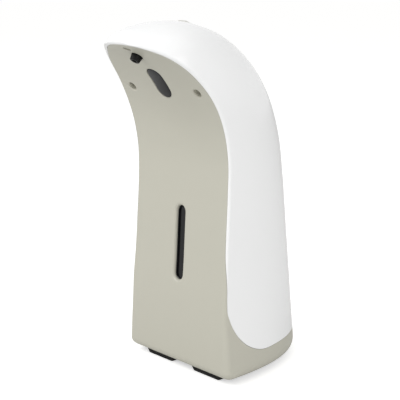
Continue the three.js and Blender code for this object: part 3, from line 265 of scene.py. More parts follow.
def body(share, column, gap=None):
    """Right half of the body's outside. The section is a flat face, a corner arc, then x = w cos t and
    depth = L (sin t)^section_power, round to the middle of the back."""
    front, back, inward, drawn = ends(share)
    length = np.linalg.norm(back - front, axis=-1)
    width = np.maximum(half_width(share, 0) - drawn, 0)
    corner = np.maximum(np.minimum(np.minimum(corner_radius(share), length / 3), width / 2), 1e-9)
    edge = flat = width - corner
    if gap is not None:
        edge = np.where(share < tip_end(cover_rim - gap + tip_rim), panel_half_width(share, gap), 0)
    start = np.where(edge > flat, corner * np.arcsin(np.clip((edge - flat) / corner, 0, 1)), edge - flat)
    way = start + (corner * math.pi / 2 - start) * np.clip(column / corner_columns, 0, 1)
    turn = np.clip(way / corner, 0, math.pi / 2)
    first = np.arcsin((corner / length) ** (1 / section_power))
    round_back = np.clip((column - corner_columns) / side_columns, 0, 1) ** column_spread
    sweep = first + (math.pi / 2 - first) * round_back
    on_side = column > corner_columns
    x = np.where(on_side, width * np.cos(sweep), flat + np.minimum(way, 0) + corner * np.sin(turn))
    deep = np.where(on_side, length * np.sin(sweep) ** section_power, corner - corner * np.cos(turn))
    place = front + inward * deep[..., None]
    return np.stack([x, place[..., 0], place[..., 1]], -1)


def line_height(y, gap):
    """Height of the line between the covers at y: a quarter ellipse down from the face, then level."""
    middle = along(face_profile, skirt_top / shell_height)[0] + skirt_start + skirt_run
    across = np.clip((middle - gap - y) / (skirt_run - gap), 0, 1)
    return skirt_top + skirt_rise - gap - skirt_rise * np.sqrt(1 - across ** 2)


def line_share(column, gap, opening_gap=None):
    """Share at which each column of the body crosses the line, found by halving 40 times."""
    low, high = 0 * column + 0.001, 0 * column + 0.5
    for _ in range(40):
        middle = (low + high) / 2
        point = body(middle, column, opening_gap)
        over = point[..., 2] > line_height(point[..., 1], gap)
        low, high = np.where(over, low, middle), np.where(over, middle, high)
    return high


def both_sides(half):
    """A whole grid from its right half, which ends at the middle of the back."""
    return np.concatenate([half, half[:, -2::-1] * (-1, 1, 1)], 1)


def joined(piece):
    """Merges the doubles of a piece and turns its faces outwards."""
    work = bmesh.new()
    work.from_mesh(piece.data)
    bmesh.ops.remove_doubles(work, verts=work.verts, dist=4e-6)
    bmesh.ops.dissolve_degenerate(work, edges=work.edges, dist=1e-7)
    bmesh.ops.recalc_face_normals(work, faces=work.faces)
    middle = sum((f.calc_center_median() * f.calc_area() for f in work.faces), Vector())
    middle /= sum(f.calc_area() for f in work.faces)
    out = sum((f.calc_center_median() - middle).dot(f.normal) * f.calc_area() for f in work.faces)
    if out < 0:
        bmesh.ops.reverse_faces(work, faces=work.faces)
    work.to_mesh(piece.data)
    work.free()


def settled(piece, sharp=15, finish=None):
    """Applies a piece's modifiers, smooths it up to an angle between faces, and gives it a material."""
    graph = bpy.context.evaluated_depsgraph_get()
    graph.update()
    mesh = bpy.data.meshes.new_from_object(piece.evaluated_get(graph))
    piece.modifiers.clear()
    piece.data = mesh
    mesh.name = piece.name
    mesh.shade_smooth()
    mesh.set_sharp_from_angle(angle=math.radians(sharp))
    if finish:
        mesh.materials.clear()
        mesh.materials.append(finish)


def points_of(piece):
    """The points of a piece's mesh as an array."""
    flat = np.zeros(len(piece.data.vertices) * 3)
    piece.data.vertices.foreach_get("co", flat)
    return flat.reshape(-1, 3)


def thicken(piece, wall, root_wall, growth, most):
    """Gives an open surface a wall on its inner side: root_wall thick at the tip of the body, growing by a
    share of the distance from there, up to the most that each point allows."""
    points = points_of(piece)
    tip = along(face_profile, 1.0)
    away = np.hypot(points[:, 1] - tip[0], points[:, 2] - tip[1])
    thick = np.minimum(root_wall + growth * away, most)
    level = np.round(thick / wall, 2)
    group = piece.vertex_groups.new(name="wall")
    for share in np.unique(level):
        group.add(np.flatnonzero(level == share).tolist(), float(share), "REPLACE")
    solid = piece.modifiers.new("wall", "SOLIDIFY")
    solid.thickness = wall
    solid.offset = -1
    solid.vertex_group = "wall"
    solid.thickness_vertex_group = 0


def cut_away(piece, cutters, joined_on=(), **settling):
    """Joins closed forms to a piece, takes others out of it, and settles it."""
    for forms, kind in ((joined_on, "UNION"), (cutters, "DIFFERENCE")):
        for form in forms:
            step = piece.modifiers.new("form", "BOOLEAN")
            step.operation = kind
            step.solver = "EXACT"
            step.object = form
    settled(piece, **settling)
    for form in (*joined_on, *cutters):
        bpy.data.objects.remove(form)


def looped(grid):
    """A grid whose rows come back to their first point."""
    return np.concatenate([grid, grid[:, :1]], 1)


def pill(name, profile, half_run=0.0, around=48):
    """A closed round or slot-shaped form, from pairs of a reach from a line along y and a height."""
    reach, height = np.array(profile, float).T
    straight = max(1, int(half_run / 0.0008))
    run = np.linspace(-half_run, half_run, straight + 1)[1:-1] if half_run else np.zeros(0)
    arc = np.linspace(0, math.pi, around // 2 + 1)
    if not half_run:
        arc = arc[:-1]
    angle = np.concatenate([0 * run, arc, 0 * run + math.pi, arc + math.pi])
    place = np.concatenate([run, 0 * arc + half_run, -run, 0 * arc - half_run])
    x = reach[:, None] * np.cos(angle)
    y = reach[:, None] * np.sin(angle) + place
    grid = np.stack([x, y, height[:, None] + 0 * x], -1)
    return made(name, looped(grid))


def rod(reach, low, high):
    """Profile of a plain rod between two heights."""
    return [(0, low), (reach, low), (reach, high), (0, high)]


def placed(piece, move):
    """Moves the points of a piece's mesh with a function of an array of points, then joins them."""
    piece.data.vertices.foreach_set("co", move(points_of(piece)).ravel())
    joined(piece)
    return piece


def socket_group(name, inputs, outputs):
    """An empty shader group with named float or colour sockets, and what comes in through its inputs."""
    group = bpy.data.node_groups.new(name, "ShaderNodeTree")
    for way, sockets in (("INPUT", inputs), ("OUTPUT", outputs)):
        for label, kind in sockets:
            group.interface.new_socket(label, in_out=way, socket_type="NodeSocket" + kind)
    return group, group.nodes.new("NodeGroupInput").outputs


def noise(tree, place, scale, detail, rough=0.5):
    """Noise of a number of spots per metre at the places that come in."""
    return added(tree, "TexNoise", Vector=place, Scale=scale, Detail=detail, Roughness=rough)["Fac"]


def mixed(tree, share, first, second):
    """A mix of two colours."""
    return added(tree, "Mix", data_type="RGBA", Factor=share, A=first, B=second)["Result"]


# Moulded skin: slow clouds in tone and gloss, a fine grain in the surface, and faint rubbing marks
skin, skin_in = socket_group(
    "moulded_skin",
    [("Colour", "Color"), ("Dark colour", "Color"), ("Roughness", "Float"), ("Clouding", "Float"),
     ("Grain size", "Float"), ("Rubbing", "Float")],
    [("Colour", "Color"), ("Roughness", "Float"), ("Height", "Float")],
)
cloud_scale, speck_scale, cloud_part, speck_part, cloud_gloss = 38.0, 900.0, 0.65, 0.35, 0.12
rub_turn, rub_stretch, rub_relief = (0.5, 0.35, 0.2), (60, 900, 140), 0.4
skin_place = added(skin, "TexCoord")["Object"]
skin_cloud = noise(skin, skin_place, cloud_scale, 3.0, 0.55)
skin_speck = noise(skin, skin_place, speck_scale, 2.0, 0.6)
skin_grain = noise(skin, skin_place, skin_in["Grain size"], 2.0)
skin_stretch = added(skin, "Mapping", Vector=skin_place, Rotation=rub_turn, Scale=rub_stretch)["Vector"]
skin_rub = noise(skin, skin_stretch, 2.0, 4.0, 0.6)
skin_clouds = sums(skin, "MULTIPLY", skin_cloud, cloud_part)
skin_tone = sums(skin, "MULTIPLY_ADD", skin_speck, speck_part, skin_clouds)
skin_share = sums(skin, "MULTIPLY", skin_tone, skin_in["Clouding"])
skin_marks = sums(skin, "MULTIPLY", sums(skin, "SUBTRACT", skin_rub, 0.5), skin_in["Rubbing"])
skin_swell = sums(skin, "SUBTRACT", skin_cloud, 0.5)
skin_waves = sums(skin, "MULTIPLY_ADD", skin_swell, cloud_gloss, skin_marks)
fed(
    skin, skin.nodes.new("NodeGroupOutput"),
    Colour=mixed(skin, skin_share, skin_in["Colour"], skin_in["Dark colour"]),
    Roughness=sums(skin, "ADD", skin_in["Roughness"], skin_waves),
    Height=sums(skin, "MULTIPLY_ADD", skin_marks, rub_relief, skin_grain),
)


def moulded(name, colour, dark, rough, clouding=0.5, grain=2500.0, relief=0.1, lift=0.00002, rubbing=0.05,
            **shader):
    """A moulded plastic or rubber: the skin and a plain shader, whose own numbers come by name. The grain is
    in spots per metre, the relief is the strength of its bumps and the lift their height in metres."""
    finish = bpy.data.materials.new(name)
    finish.use_nodes = True
    tree = finish.node_tree
    face = added(
        tree, "Group", node_tree=skin, Colour=(*colour, 1), Dark_colour=(*dark, 1), Roughness=rough,
        Clouding=clouding, Grain_size=grain, Rubbing=rubbing)
    bump = added(tree, "Bump", Strength=relief, Distance=lift, Height=face["Height"])["Normal"]
    fed(
        tree, tree.nodes["Principled BSDF"],
        Base_Color=face["Colour"], Roughness=face["Roughness"], Normal=bump, **shader)
    finish.diffuse_color = (*colour, 1)
    return finish


white_gloss = moulded(
    "white_gloss", (0.875, 0.88, 0.885), (0.84, 0.845, 0.85), 0.22, grain=1400.0, relief=0.05, lift=0.00001,
    IOR=1.49)

shell_columns = np.arange(corner_columns + side_columns + 1)[None, :].astype(float)
shell_end = tip_end(cover_rim - cover_gap + tip_rim)
shell_foot = line_share(shell_columns, -cover_gap, cover_gap)
shell_up = 1 - (1 - np.linspace(0, 1, 111)[:, None]) ** 2
shell_over = 1 - (1 - np.linspace(0, 1, 11)[1:, None]) ** 2
shell_shares = np.concatenate([
    shell_foot + (shell_end - shell_foot) * shell_up,
    shell_end + (tip_end(0) - shell_end) * shell_over + 0 * shell_foot,
])
shell_grid = both_sides(body(shell_shares, shell_columns + 0 * shell_shares, cover_gap))
rear_cover = made("rear_cover_shell", shell_grid)
joined(rear_cover)
thicken(rear_cover, shell_wall, edge_wall, shell_growth, shell_wall)

cap_share, cap_radius = 0.79, 0.012
crown_reach, crown_start = 0.02, 0.0015
cap_middle = along(back_profile, cap_share)
cap_step = along(back_profile, cap_share - 0.001) - along(back_profile, cap_share + 0.001)
cap_lean = math.atan2(cap_step[1], cap_step[0])


def on_top(points):
    """Carries x, y, z to the filling hole: z stands out of the shell there and y points to the back."""
    turn, lean = math.cos(cap_lean), math.sin(cap_lean)
    y = cap_middle[0] + points[:, 1] * turn - points[:, 2] * lean
    z = cap_middle[1] + points[:, 1] * lean + points[:, 2] * turn
    return np.stack([points[:, 0], y, z], 1)


top_columns = np.arange(30.0, 65.0)
top_points = both_sides(body(np.linspace(0.66, 0.92, 40)[:, None] + 0 * top_columns, top_columns))
top_points = top_points.reshape(-1, 3) - (0, *cap_middle)
top_along = top_points[:, 1] * math.cos(cap_lean) + top_points[:, 2] * math.sin(cap_lean)
top_up = top_points[:, 2] * math.cos(cap_lean) - top_points[:, 1] * math.sin(cap_lean)
top_near = np.hypot(top_points[:, 0], top_along) < crown_reach


def crown_terms(x, y):
    """Powers of x and y in centimetres, for the polynomial that follows the shell round the filling hole."""
    x, y = x * 100, y * 100
    return np.stack([1 + 0 * x, y, x * x, y * y, x * x * y, y ** 3, x ** 4, x * x * y * y, y ** 4], 1)


crown = np.linalg.lstsq(
    crown_terms(top_points[top_near, 0], top_along[top_near]), top_up[top_near], rcond=None)[0]


def on_crown(points, flat_below=-1.0):
    """Carries x, y, z onto the shell's curved top: z is measured from the shell, but stays flat low down."""
    share = np.clip((points[:, 2] - flat_below) / crown_start, 0, 1)
    rise = crown_terms(points[:, 0], points[:, 1]) @ crown * share
    return on_top(points + np.stack([0 * rise, 0 * rise, rise], 1))


hole_reach, hole_deep, hole_edge, hole_mouth = cap_radius + 0.0003, 0.012, 0.0005, 0.0004
hole_profile = [
    (0, -hole_deep), (hole_reach, -hole_deep),
    *((hole_reach + hole_edge * (1 - math.cos(a)), -hole_mouth - hole_edge * (1 - math.sin(a)))
      for a in np.radians(np.linspace(0, 68, 8))),
    (hole_reach + 0.006, 0.0025), (0, 0.004),
]
filling_hole = placed(pill("filling_hole", hole_profile, around=96), on_crown)
cut_away(rear_cover, [filling_hole], finish=white_gloss)
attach(rear_cover, "housing")
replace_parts(rear_cover, "rear_cover")


# Front cover: the grey panel and the base that wraps round the sides and the back, as one moulding.
# Satin silver-grey plastic, 2.5 mm thick at the panel and 2 mm round the base.
panel_wall, panel_growth, lip_thin, lip_growth = 0.0025, 0.3, 0.001, 0.5
slot_share, sensor_share, screw_share, tip_screw_share, nozzle_share = 0.344, 0.802, 0.778, 0.933, 0.8985
slot_half_width, slot_length, slot_lip = 0.0034, 0.0444, 0.0017
sensor_half_width, sensor_length = 0.0053, 0.0197
plug_radius, plug_depth, well_lip, tip_well_radius = 0.0024, 0.0030, 0.0007, 0.0021
cup_wall, cup_front, cup_back, well_back = 0.0009, 0.0012, 0.005, 0.0042
slot_run = slot_length / 2 - slot_half_width - slot_lip
sensor_run = sensor_length / 2 - sensor_half_width
slider_half, slider_up, slider_slot_half, slider_slot_deep = 0.0061, 0.0062, 0.002, 0.006
slider_run = slider_half - slider_slot_half
screw_inset, nozzle_hole, nozzle_lip = 0.010, 0.0032, 0.0002
screw_side = float(half_width(np.float64(screw_share), 0)) - screw_inset


def on_face(points, share, shift=0.0):
    """Carries x, y, z onto the face: y is measured along its curve from a share, z stands square to it."""
    way = np.interp(share, face_shares, face_ways) + points[:, 1]
    at = np.interp(way, face_ways, face_shares)
    place = along(face_profile, at)
    slope = along(face_profile, at + 0.002) - along(face_profile, at - 0.002)
    slope = slope / np.linalg.norm(slope, axis=1, keepdims=True)
    y = place[:, 0] - slope[:, 1] * points[:, 2]
    z = place[:, 1] + slope[:, 0] * points[:, 2]
    return np.stack([points[:, 0] + shift, y, z], 1)


def faced(name, profile, share, half_run=0.0, shift=0.0):
    """A round or slot-shaped form that stands on the face at a share, moved sideways by a shift."""
    return placed(pill(name, profile, half_run), lambda p: on_face(p, share, shift))


def lipped(reach, lip, deep=0.006):
    """Profile of a cutter whose mouth has an edge rounded through 80 degrees, and flares out past it."""
    proud = 0.003
    turn = np.radians(np.linspace(0, 80, 9))
    edge = [(reach + lip * (1 - math.cos(a)), -lip * (1 - math.sin(a))) for a in turn]
    flare = (edge[-1][0] + proud / 4 * math.tan(turn[-1]), edge[-1][1] + proud / 4)
    return [(0, -deep), (reach, -deep), *edge, flare, (0, proud)]


skirt_line = line_share(shell_columns, 0.0)
round_turn = np.linspace(math.radians(26), math.pi / 2, 11)[:, None]
round_shares = (base_raise + base_round * (1 - np.cos(round_turn))) / face_length
skirt_up = np.linspace(0, 1, 26)[1:, None]
skirt_shares = np.concatenate([
    round_shares + 0 * skirt_line,
    round_shares[-1] + (skirt_line - round_shares[-1]) * skirt_up,
])
skirt_grid = both_sides(body(skirt_shares, shell_columns + 0 * skirt_shares))
panel_up = 1 - (1 - np.linspace(0, 1, 111)[1:]) ** 2
panel_end = tip_end(cover_rim + tip_rim)
panel_start = skirt_shares[-1, 0]
panel_shares = np.concatenate([skirt_shares[:, 0], panel_start + (panel_end - panel_start) * panel_up])
panel_front, _, _, panel_drawn = ends(panel_shares)
panel_flat = half_width(panel_shares, 0) - panel_drawn - corner_radius(panel_shares)
panel_edge = np.minimum(panel_flat, panel_half_width(panel_shares, 0))
panel_across = np.linspace(1, -1, 23)[None, :]
panel_places = panel_front[:, None, :] + 0 * panel_across[..., None]
panel_grid = np.concatenate([(panel_edge[:, None] * panel_across)[..., None], panel_places], -1)
turned_columns = 6


def panel_side(share):
    """Edge of the panel above the line, turned round the corner arc to where the rim begins, with its columns
    at equal angles."""
    front, _, inward, _ = ends(share)
    corner = corner_radius(share)
    flat = half_width(share, 0) - corner
    over = np.clip(panel_half_width(share, 0) - flat, 0, corner)
    turn = np.arcsin(over / corner) * np.arange(turned_columns + 1) / turned_columns
    x = np.minimum(flat, panel_half_width(share, 0)) + corner * np.sin(turn)
    place = front + inward * (corner - corner * np.cos(turn))[..., None]
    return np.stack([x, place[..., 0], place[..., 1]], -1)


side_start = body(skirt_line[:, :turned_columns + 1], shell_columns[:, :turned_columns + 1])
side_rows = panel_side(panel_shares[len(skirt_shares):, None] + 0 * np.arange(turned_columns + 1))
side_grid = np.concatenate([side_start, side_rows])
front_grids = [skirt_grid, panel_grid, side_grid, side_grid * (-1, 1, 1)]
front_starts = np.cumsum([0] + [grid.shape[0] * grid.shape[1] for grid in front_grids])
front_cover = made(
    "front_cover_moulding",
    np.concatenate([grid.reshape(-1, 3) for grid in front_grids]),
    np.concatenate([quads(*grid.shape[:2]) + start for grid, start in zip(front_grids, front_starts)]),
)
joined(front_cover)
cover_points = points_of(front_cover)
face_line = through(face_profile, face_shares)
on_panel = cover_points[:, 1] < np.interp(cover_points[:, 2], face_line[:, 1], face_line[:, 0]) + 1e-4
lip_wall = lip_thin + lip_growth * (cover_points[:, 2] - cover_points[:, 2].min())
cover_wall = np.minimum(np.where(on_panel, panel_wall, shell_wall), lip_wall)
thicken(front_cover, panel_wall, edge_wall, panel_growth, cover_wall)

cups, wells = [], []
for share, shift, radius, lip in (
        (screw_share, -screw_side, plug_radius, well_lip), (screw_share, screw_side, plug_radius, well_lip),
        (tip_screw_share, 0.0, tip_well_radius, edge_wall)):
    cups.append(faced("cup", rod(radius + cup_wall, -cup_back, -cup_front), share, shift=shift))
    wells.append(faced("well", lipped(radius, lip, deep=well_back), share, shift=shift))
slot_cut = faced("slot_cut", lipped(slot_half_width, slot_lip), slot_share, slot_run)
sensor_cut = faced("sensor_cut", lipped(sensor_half_width, edge_wall), sensor_share, sensor_run)
nozzle_cut = faced("nozzle_cut", lipped(nozzle_hole, nozzle_lip), nozzle_share)
slider_back = along(back_profile, slider_up / shell_height)[0]


def on_back(points):
    """Carries x, y, z to the slot at the back of the base: y runs across and z stands out to the rear."""
    return np.stack([points[:, 1], slider_back + points[:, 2], base_lift + slider_up + points[:, 0]], 1)


slider_cut = placed(
    pill("slider_cut", rod(slider_slot_half, -slider_slot_deep, slider_slot_deep), slider_run), on_back)
satin_grey = moulded(
    "satin_grey", (0.50, 0.49, 0.42), (0.47, 0.458, 0.39), 0.42, grain=2600.0, relief=0.18, IOR=1.49)
cut_away(front_cover, [slot_cut, sensor_cut, nozzle_cut, slider_cut, *wells], cups, finish=satin_grey)
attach(front_cover, "housing")
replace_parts(front_cover, "front_cover")


# Front pieces behind and in the panel's openings: the level window and the sensor window.
# Both are dark smoked plastic with a polished face. The level window is a plate pressed against the panel
# from behind, whose raised rim lines the slot. The sensor window is a stepped plug, a hair below the face.
window_margin, window_seat, window_depth, window_thick = 0.0024, 0.0009, 0.0026, 0.0016
liner_top, liner_edge = -0.0016, 0.0002
sensor_gap, sensor_step, sensor_thick, sensor_rise, sensor_sunk = 0.00012, 0.0016, 0.0012, 0.00028, 0.0002
smoked_glass = moulded(
    "smoked_glass", (0.006, 0.006, 0.0072), (0.003, 0.003, 0.004), 0.13, clouding=0.6, grain=900.0,
    relief=0.03, lift=0.00001, rubbing=0.04, IOR=1.34)


def rounded_edge(reach, height, radius):
    """Points of a rounded outer edge: a quarter circle from the side, at a reach, up to a height."""
    turn = np.radians(np.linspace(0, 90, 5))
    return [(reach - radius * (1 - math.cos(a)), height - radius * (1 - math.sin(a))) for a in turn]


window_reach = slot_half_width + window_margin + window_seat
window_back = -window_depth - window_thick
liner_reach, liner_inner = slot_half_width - 0.0001, slot_half_width - 0.0006
level_window = faced("level_window_plate", [
    (0, window_back), (window_reach, window_back), *rounded_edge(window_reach, -window_depth, liner_edge),
    (liner_reach, -window_depth), (liner_reach, liner_top - liner_edge),
    ((liner_reach + liner_inner) / 2, liner_top), (liner_inner, liner_top - liner_edge),
    (liner_inner, -window_depth + 0.0001), (0, -window_depth + 0.0001)], slot_share, slot_run)
settled(level_window, 30, smoked_glass)
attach(level_window, "housing")
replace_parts(level_window, "level_window")

sensor_reach = sensor_half_width - sensor_gap
sensor_seat = -panel_wall - 0.0001
sensor_back = sensor_seat - sensor_thick
step_reach = sensor_reach + sensor_step
sensor_crown = [
    (sensor_reach * s, sensor_rise * (1 - s * s) - sensor_sunk) for s in (0.86, 0.7, 0.5, 0.3, 0.12, 0)]
sensor_window = faced("sensor_window_plug", [
    (0, sensor_back), (step_reach, sensor_back), (step_reach, sensor_seat), (sensor_reach, sensor_seat),
    *rounded_edge(sensor_reach, -0.00022, 0.0004), *sensor_crown], sensor_share, sensor_run)
settled(sensor_window, 30, smoked_glass)
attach(sensor_window, "housing")
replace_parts(sensor_window, "sensor_window")


# Fixings of the covers: two long screws under grey plastic plugs, and a short one in the open at the tip.
# The plugs are pressed into their wells. The screws are zinc-plated, with a cross recess in a domed head.
screw_head, head_high, head_edge, head_side = 0.0019, 0.0015, 0.0008, 0.0003
recess_half, recess_deep, shank_reach, tip_screw_depth = 0.0009, 0.001, 0.0011, 0.0026
base_screw_long, tip_screw_long = 0.008, 0.0055
plated_steel = moulded(
    "plated_steel", (0.50, 0.51, 0.53), (0.42, 0.43, 0.44), 0.3, clouding=0.6, grain=3000.0, relief=0.12,
    lift=0.00001, rubbing=0.12, Metallic=1.0)
plug_grey = moulded(
    "plug_grey", (0.47, 0.46, 0.395), (0.44, 0.43, 0.365), 0.5, grain=2600.0, relief=0.2, rubbing=0.04,
    IOR=1.49)


def spun(points, turn):
    """Turns a form round the z axis."""
    x = points[:, 0] * math.cos(turn) - points[:, 1] * math.sin(turn)
    y = points[:, 0] * math.sin(turn) + points[:, 1] * math.cos(turn)
    return np.stack([x, y, points[:, 2]], 1)


def screw(name, deep, length, move):
    """A pan-head screw whose head's face is at a depth: a turned profile, less two crossing wedges."""
    end, under, low, high = -deep - length, -deep - head_high, -deep - recess_deep, -deep + recess_deep
    piece = pill(name, [
        (0, end), (shank_reach * 0.35, end), (shank_reach, end + shank_reach), (shank_reach, under),
        (screw_head * 0.97, under), *rounded_edge(screw_head, -deep - head_side, head_edge),
        (screw_head * 0.4, -deep - 0.00005), (0, -deep),
    ], around=32)
    arms = []
    for turn in (0, math.pi / 2):
        arm = pill("recess", [(0, low), (0.00018, low), (0.00036, high), (0, high)], recess_half, around=12)
        arms.append(placed(arm, lambda p: spun(p, turn)))
    joined(piece)
    cut_away(piece, arms)
    placed(piece, move)
    settled(piece, 25, plated_steel)
    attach(piece, "housing")
    return piece


def painted(finish, *names):
    """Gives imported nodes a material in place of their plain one."""
    for name in names:
        nodes[name].material_slots[0].material = finish


plug_back, plug_reach = -plug_depth - 0.0008, plug_radius - 0.00008
for side, shift in (("left", -screw_side), ("right", screw_side)):
    plug = faced(f"screw_plug_{side}_disc", [
        (0, plug_back), (plug_reach, plug_back), *rounded_edge(plug_reach, -plug_depth, 0.0003),
        (plug_radius * 0.45, -plug_depth), (plug_radius * 0.36, -plug_depth - 0.0002),
        (0, -plug_depth - 0.00025)], screw_share, shift=shift)
    settled(plug, 30, plug_grey)
    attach(plug, "housing")
    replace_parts(plug, f"screw_plug_{side}")
    painted(plated_steel, f"cover_screw_{side}")
tip_screw = screw(
    "cover_screw_tip_pan", tip_screw_depth, tip_screw_long, lambda p: on_face(p, tip_screw_share))
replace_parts(tip_screw, "cover_screw_tip")


# Nozzle: a short black spout held behind the panel by a collar, with the valve chamber and a side barb.
# It is one glass-filled moulding with a fine matt texture. A soft valve closes its bore.
nozzle_root, nozzle_tip, nozzle_proud, nozzle_bore, nozzle_edge = 0.0030, 0.0028, 0.0031, 0.0012, 0.0003
collar_reach, collar_front, collar_back = 0.004, -0.0028, -0.0042
chamber_reach, chamber_back, barb_reach, barb_long, barb_back = 0.0028, -0.0105, 0.0013, 0.0075, -0.0085
fine_black = moulded(
    "fine_black", (0.004, 0.004, 0.004), (0.007, 0.007, 0.0066), 0.42, clouding=0.7, grain=3200.0,
    relief=0.3, rubbing=0.08, IOR=1.27)
nozzle = pill("nozzle_spout", [
    (0, chamber_back), (chamber_reach, chamber_back), (chamber_reach, collar_back),
    (collar_reach, collar_back), (collar_reach, collar_front), (nozzle_root, collar_front), (nozzle_root, 0),
    *rounded_edge(nozzle_tip, nozzle_proud, 0.0007), (nozzle_bore + nozzle_edge, nozzle_proud),
    (0, nozzle_proud)])
joined(nozzle)
barb = placed(
    pill("barb", [
        (0, 0), (barb_reach, 0), (barb_reach, barb_long - 0.0008), (barb_reach * 0.8, barb_long),
        (0, barb_long)], around=24),
    lambda p: np.stack([p[:, 2], p[:, 1], p[:, 0] + barb_back], 1))
bore = pill("bore", [
    (0, barb_back), (nozzle_bore, barb_back), (nozzle_bore, nozzle_proud - nozzle_edge),
    (nozzle_bore + 2 * nozzle_edge, nozzle_proud + nozzle_edge), (0, nozzle_proud + nozzle_edge)], around=32)
joined(bore)
cut_away(nozzle, [bore], [barb])
placed(nozzle, lambda p: on_face(p, nozzle_share))
settled(nozzle, 30, fine_black)
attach(nozzle, "housing")
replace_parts(nozzle, "nozzle")
valve_rubber = moulded(
    "valve_rubber", (0.03, 0.03, 0.03), (0.05, 0.05, 0.048), 0.5, clouding=0.6, relief=0.2, IOR=1.41)
painted(valve_rubber, "nozzle_valve")


# Fill cap: a soft grey cap let flush into the top, with a raised finger lip in front and a stem below.
# A round ring in the stem's groove seals it in the tank's collar.
cap_proud, cap_thick, cap_edge = -0.0002, 0.002, 0.0003
stem_reach, stem_long, stem_edge, groove_deep, groove_half = 0.0075, 0.006, 0.0006, 0.00045, 0.0010
lip_high, lip_half, lip_side, lip_rise = 0.0010, 0.0045, 0.0025, (0.0055, 0.0105)
soft_grey = moulded(
    "soft_grey", (0.60, 0.595, 0.565), (0.56, 0.555, 0.525), 0.5, grain=2200.0, relief=0.25, rubbing=0.06,
    IOR=1.43, Sheen_Weight=0.05)
stem_end = -cap_thick - stem_long
groove_low, groove_high = (-cap_thick - stem_long / 2 + way * groove_half for way in (-1, 1))
groove_reach = stem_reach - groove_deep
cap_crown = [(cap_radius * s, cap_proud + 0.0001 * (1 - s * s)) for s in np.linspace(0.92, 0, 16)]


def with_lip(points):
    """Raises a finger lip at the cap's front: its height falls off smoothly to both sides and to the rear."""
    sideways = smooth(lip_half - np.abs(points[:, 0]), 0, lip_side)
    high = smooth(-points[:, 1], *lip_rise) * sideways * smooth(points[:, 2], -cap_thick, -0.0005)
    return points + np.stack([0 * high, 0 * high, lip_high * high], 1)


fill_cap = placed(
    pill("fill_cap_soft", [
        (0, stem_end), (stem_reach - stem_edge, stem_end), (stem_reach, stem_end + stem_edge),
        (stem_reach, groove_low), (groove_reach, groove_low), (groove_reach, groove_high),
        (stem_reach, groove_high), (stem_reach, -cap_thick), (cap_radius - cap_edge, -cap_thick),
        (cap_radius, -cap_thick + cap_edge),
        *rounded_edge(cap_radius, cap_proud, 0.0006), *cap_crown], around=96),
    lambda p: on_crown(with_lip(p), -cap_thick))
settled(fill_cap, 30, soft_grey)
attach(fill_cap, "fill_cap")
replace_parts(fill_cap, "fill_cap")
seal_rubber = moulded(
    "seal_rubber", (0.0144, 0.0137, 0.0116), (0.026, 0.025, 0.022), 0.62, clouding=0.7, grain=2600.0,
    relief=0.35, IOR=1.45)
painted(seal_rubber, "fill_cap_seal", "level_window_seal", "battery_seal")


# Base plate: the black floor of the dispenser, a flat moulding inside the turned-in lip of the front cover.
# It is held by four screws in counterbores, and has a rounded opening for the batteries.
plate_under, plate_top, plate_inset = base_lift + 0.0009, base_lift + 0.0028, 0.0039
bay_half, bay_front, bay_back, bay_corner, bay_high = 0.02575, -0.00465, 0.03895, 0.0015, 0.009
screw_sunk, counterbore = 0.00085, 0.0024
base_screws = [(0.0354, -0.0093), (-0.0354, -0.0093), (0.0199, 0.0447), (-0.0199, 0.0447)]


def slab(name, half_x, half_y, corner, profile):
    """A closed rounded rectangle: each ring of the profile is an inset, 1 for the middle, and a height."""
    turn = np.linspace(0, math.pi / 2, 10)
    angle = np.concatenate([turn + q * math.pi / 2 for q in range(4)])
    side_x = np.repeat([1, -1, -1, 1], len(turn)) * (half_x - corner)
    side_y = np.repeat([1, 1, -1, -1], len(turn)) * (half_y - corner)
    inset, height = (np.array(v, float)[:, None] for v in zip(*profile))
    kept = inset < 1
    radius = np.where(kept, corner - inset, 0)
    x = np.where(kept, side_x + radius * np.cos(angle), 0)
    y = np.where(kept, side_y + radius * np.sin(angle), 0)
    grid = np.stack([x, y, height + 0 * x], -1)
    return made(name, looped(grid))


def block(low, high):
    """Rings of a plain block between two heights."""
    return [(1, low), (0, low), (0, high), (1, high)]


def shifted(x, y):
    """A move along the floor."""
    return lambda p: p + (x, y, 0)


plate_way = base_round - math.sqrt(base_round ** 2 - (base_round - plate_inset) ** 2)
plate_share = (base_raise + plate_way) / face_length
plate_line = both_sides(body(plate_share + 0 * shell_columns, shell_columns))[0, :-1, :2]
plate_middle = np.array((0, 0.02))
plate_rings = [
    (0, plate_under), (0.99, plate_under), (1, plate_under + 0.0003), (1, plate_top), (0, plate_top)]
plate_grid = np.stack([
    np.c_[plate_middle + (plate_line - plate_middle) * grow, np.full(len(plate_line), level)]
    for grow, level in plate_rings
])
base_plate = made("base_plate_moulding", looped(plate_grid))
joined(base_plate)
bay_cut = placed(
    slab("bay_cut", bay_half, (bay_back - bay_front) / 2, bay_corner, block(0, bay_high)),
    shifted(0, (bay_front + bay_back) / 2))
head_cuts = [
    placed(pill("head_cut", rod(screw_head + 0.0001, 0, base_lift + counterbore), around=40), shifted(x, y))
    for x, y in base_screws
]
cut_away(base_plate, [bay_cut, *head_cuts], finish=fine_black)
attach(base_plate, "housing")
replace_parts(base_plate, "base_plate")
for (x, y), place in zip(base_screws, ("front_right", "front_left", "rear_right", "rear_left")):
    base_screw = screw(
        f"base_screw_{place}_pan", 0.0, base_screw_long,
        lambda p: p * (1, -1, -1) + (x, y, base_lift + screw_sunk))
    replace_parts(base_screw, f"base_screw_{place}")


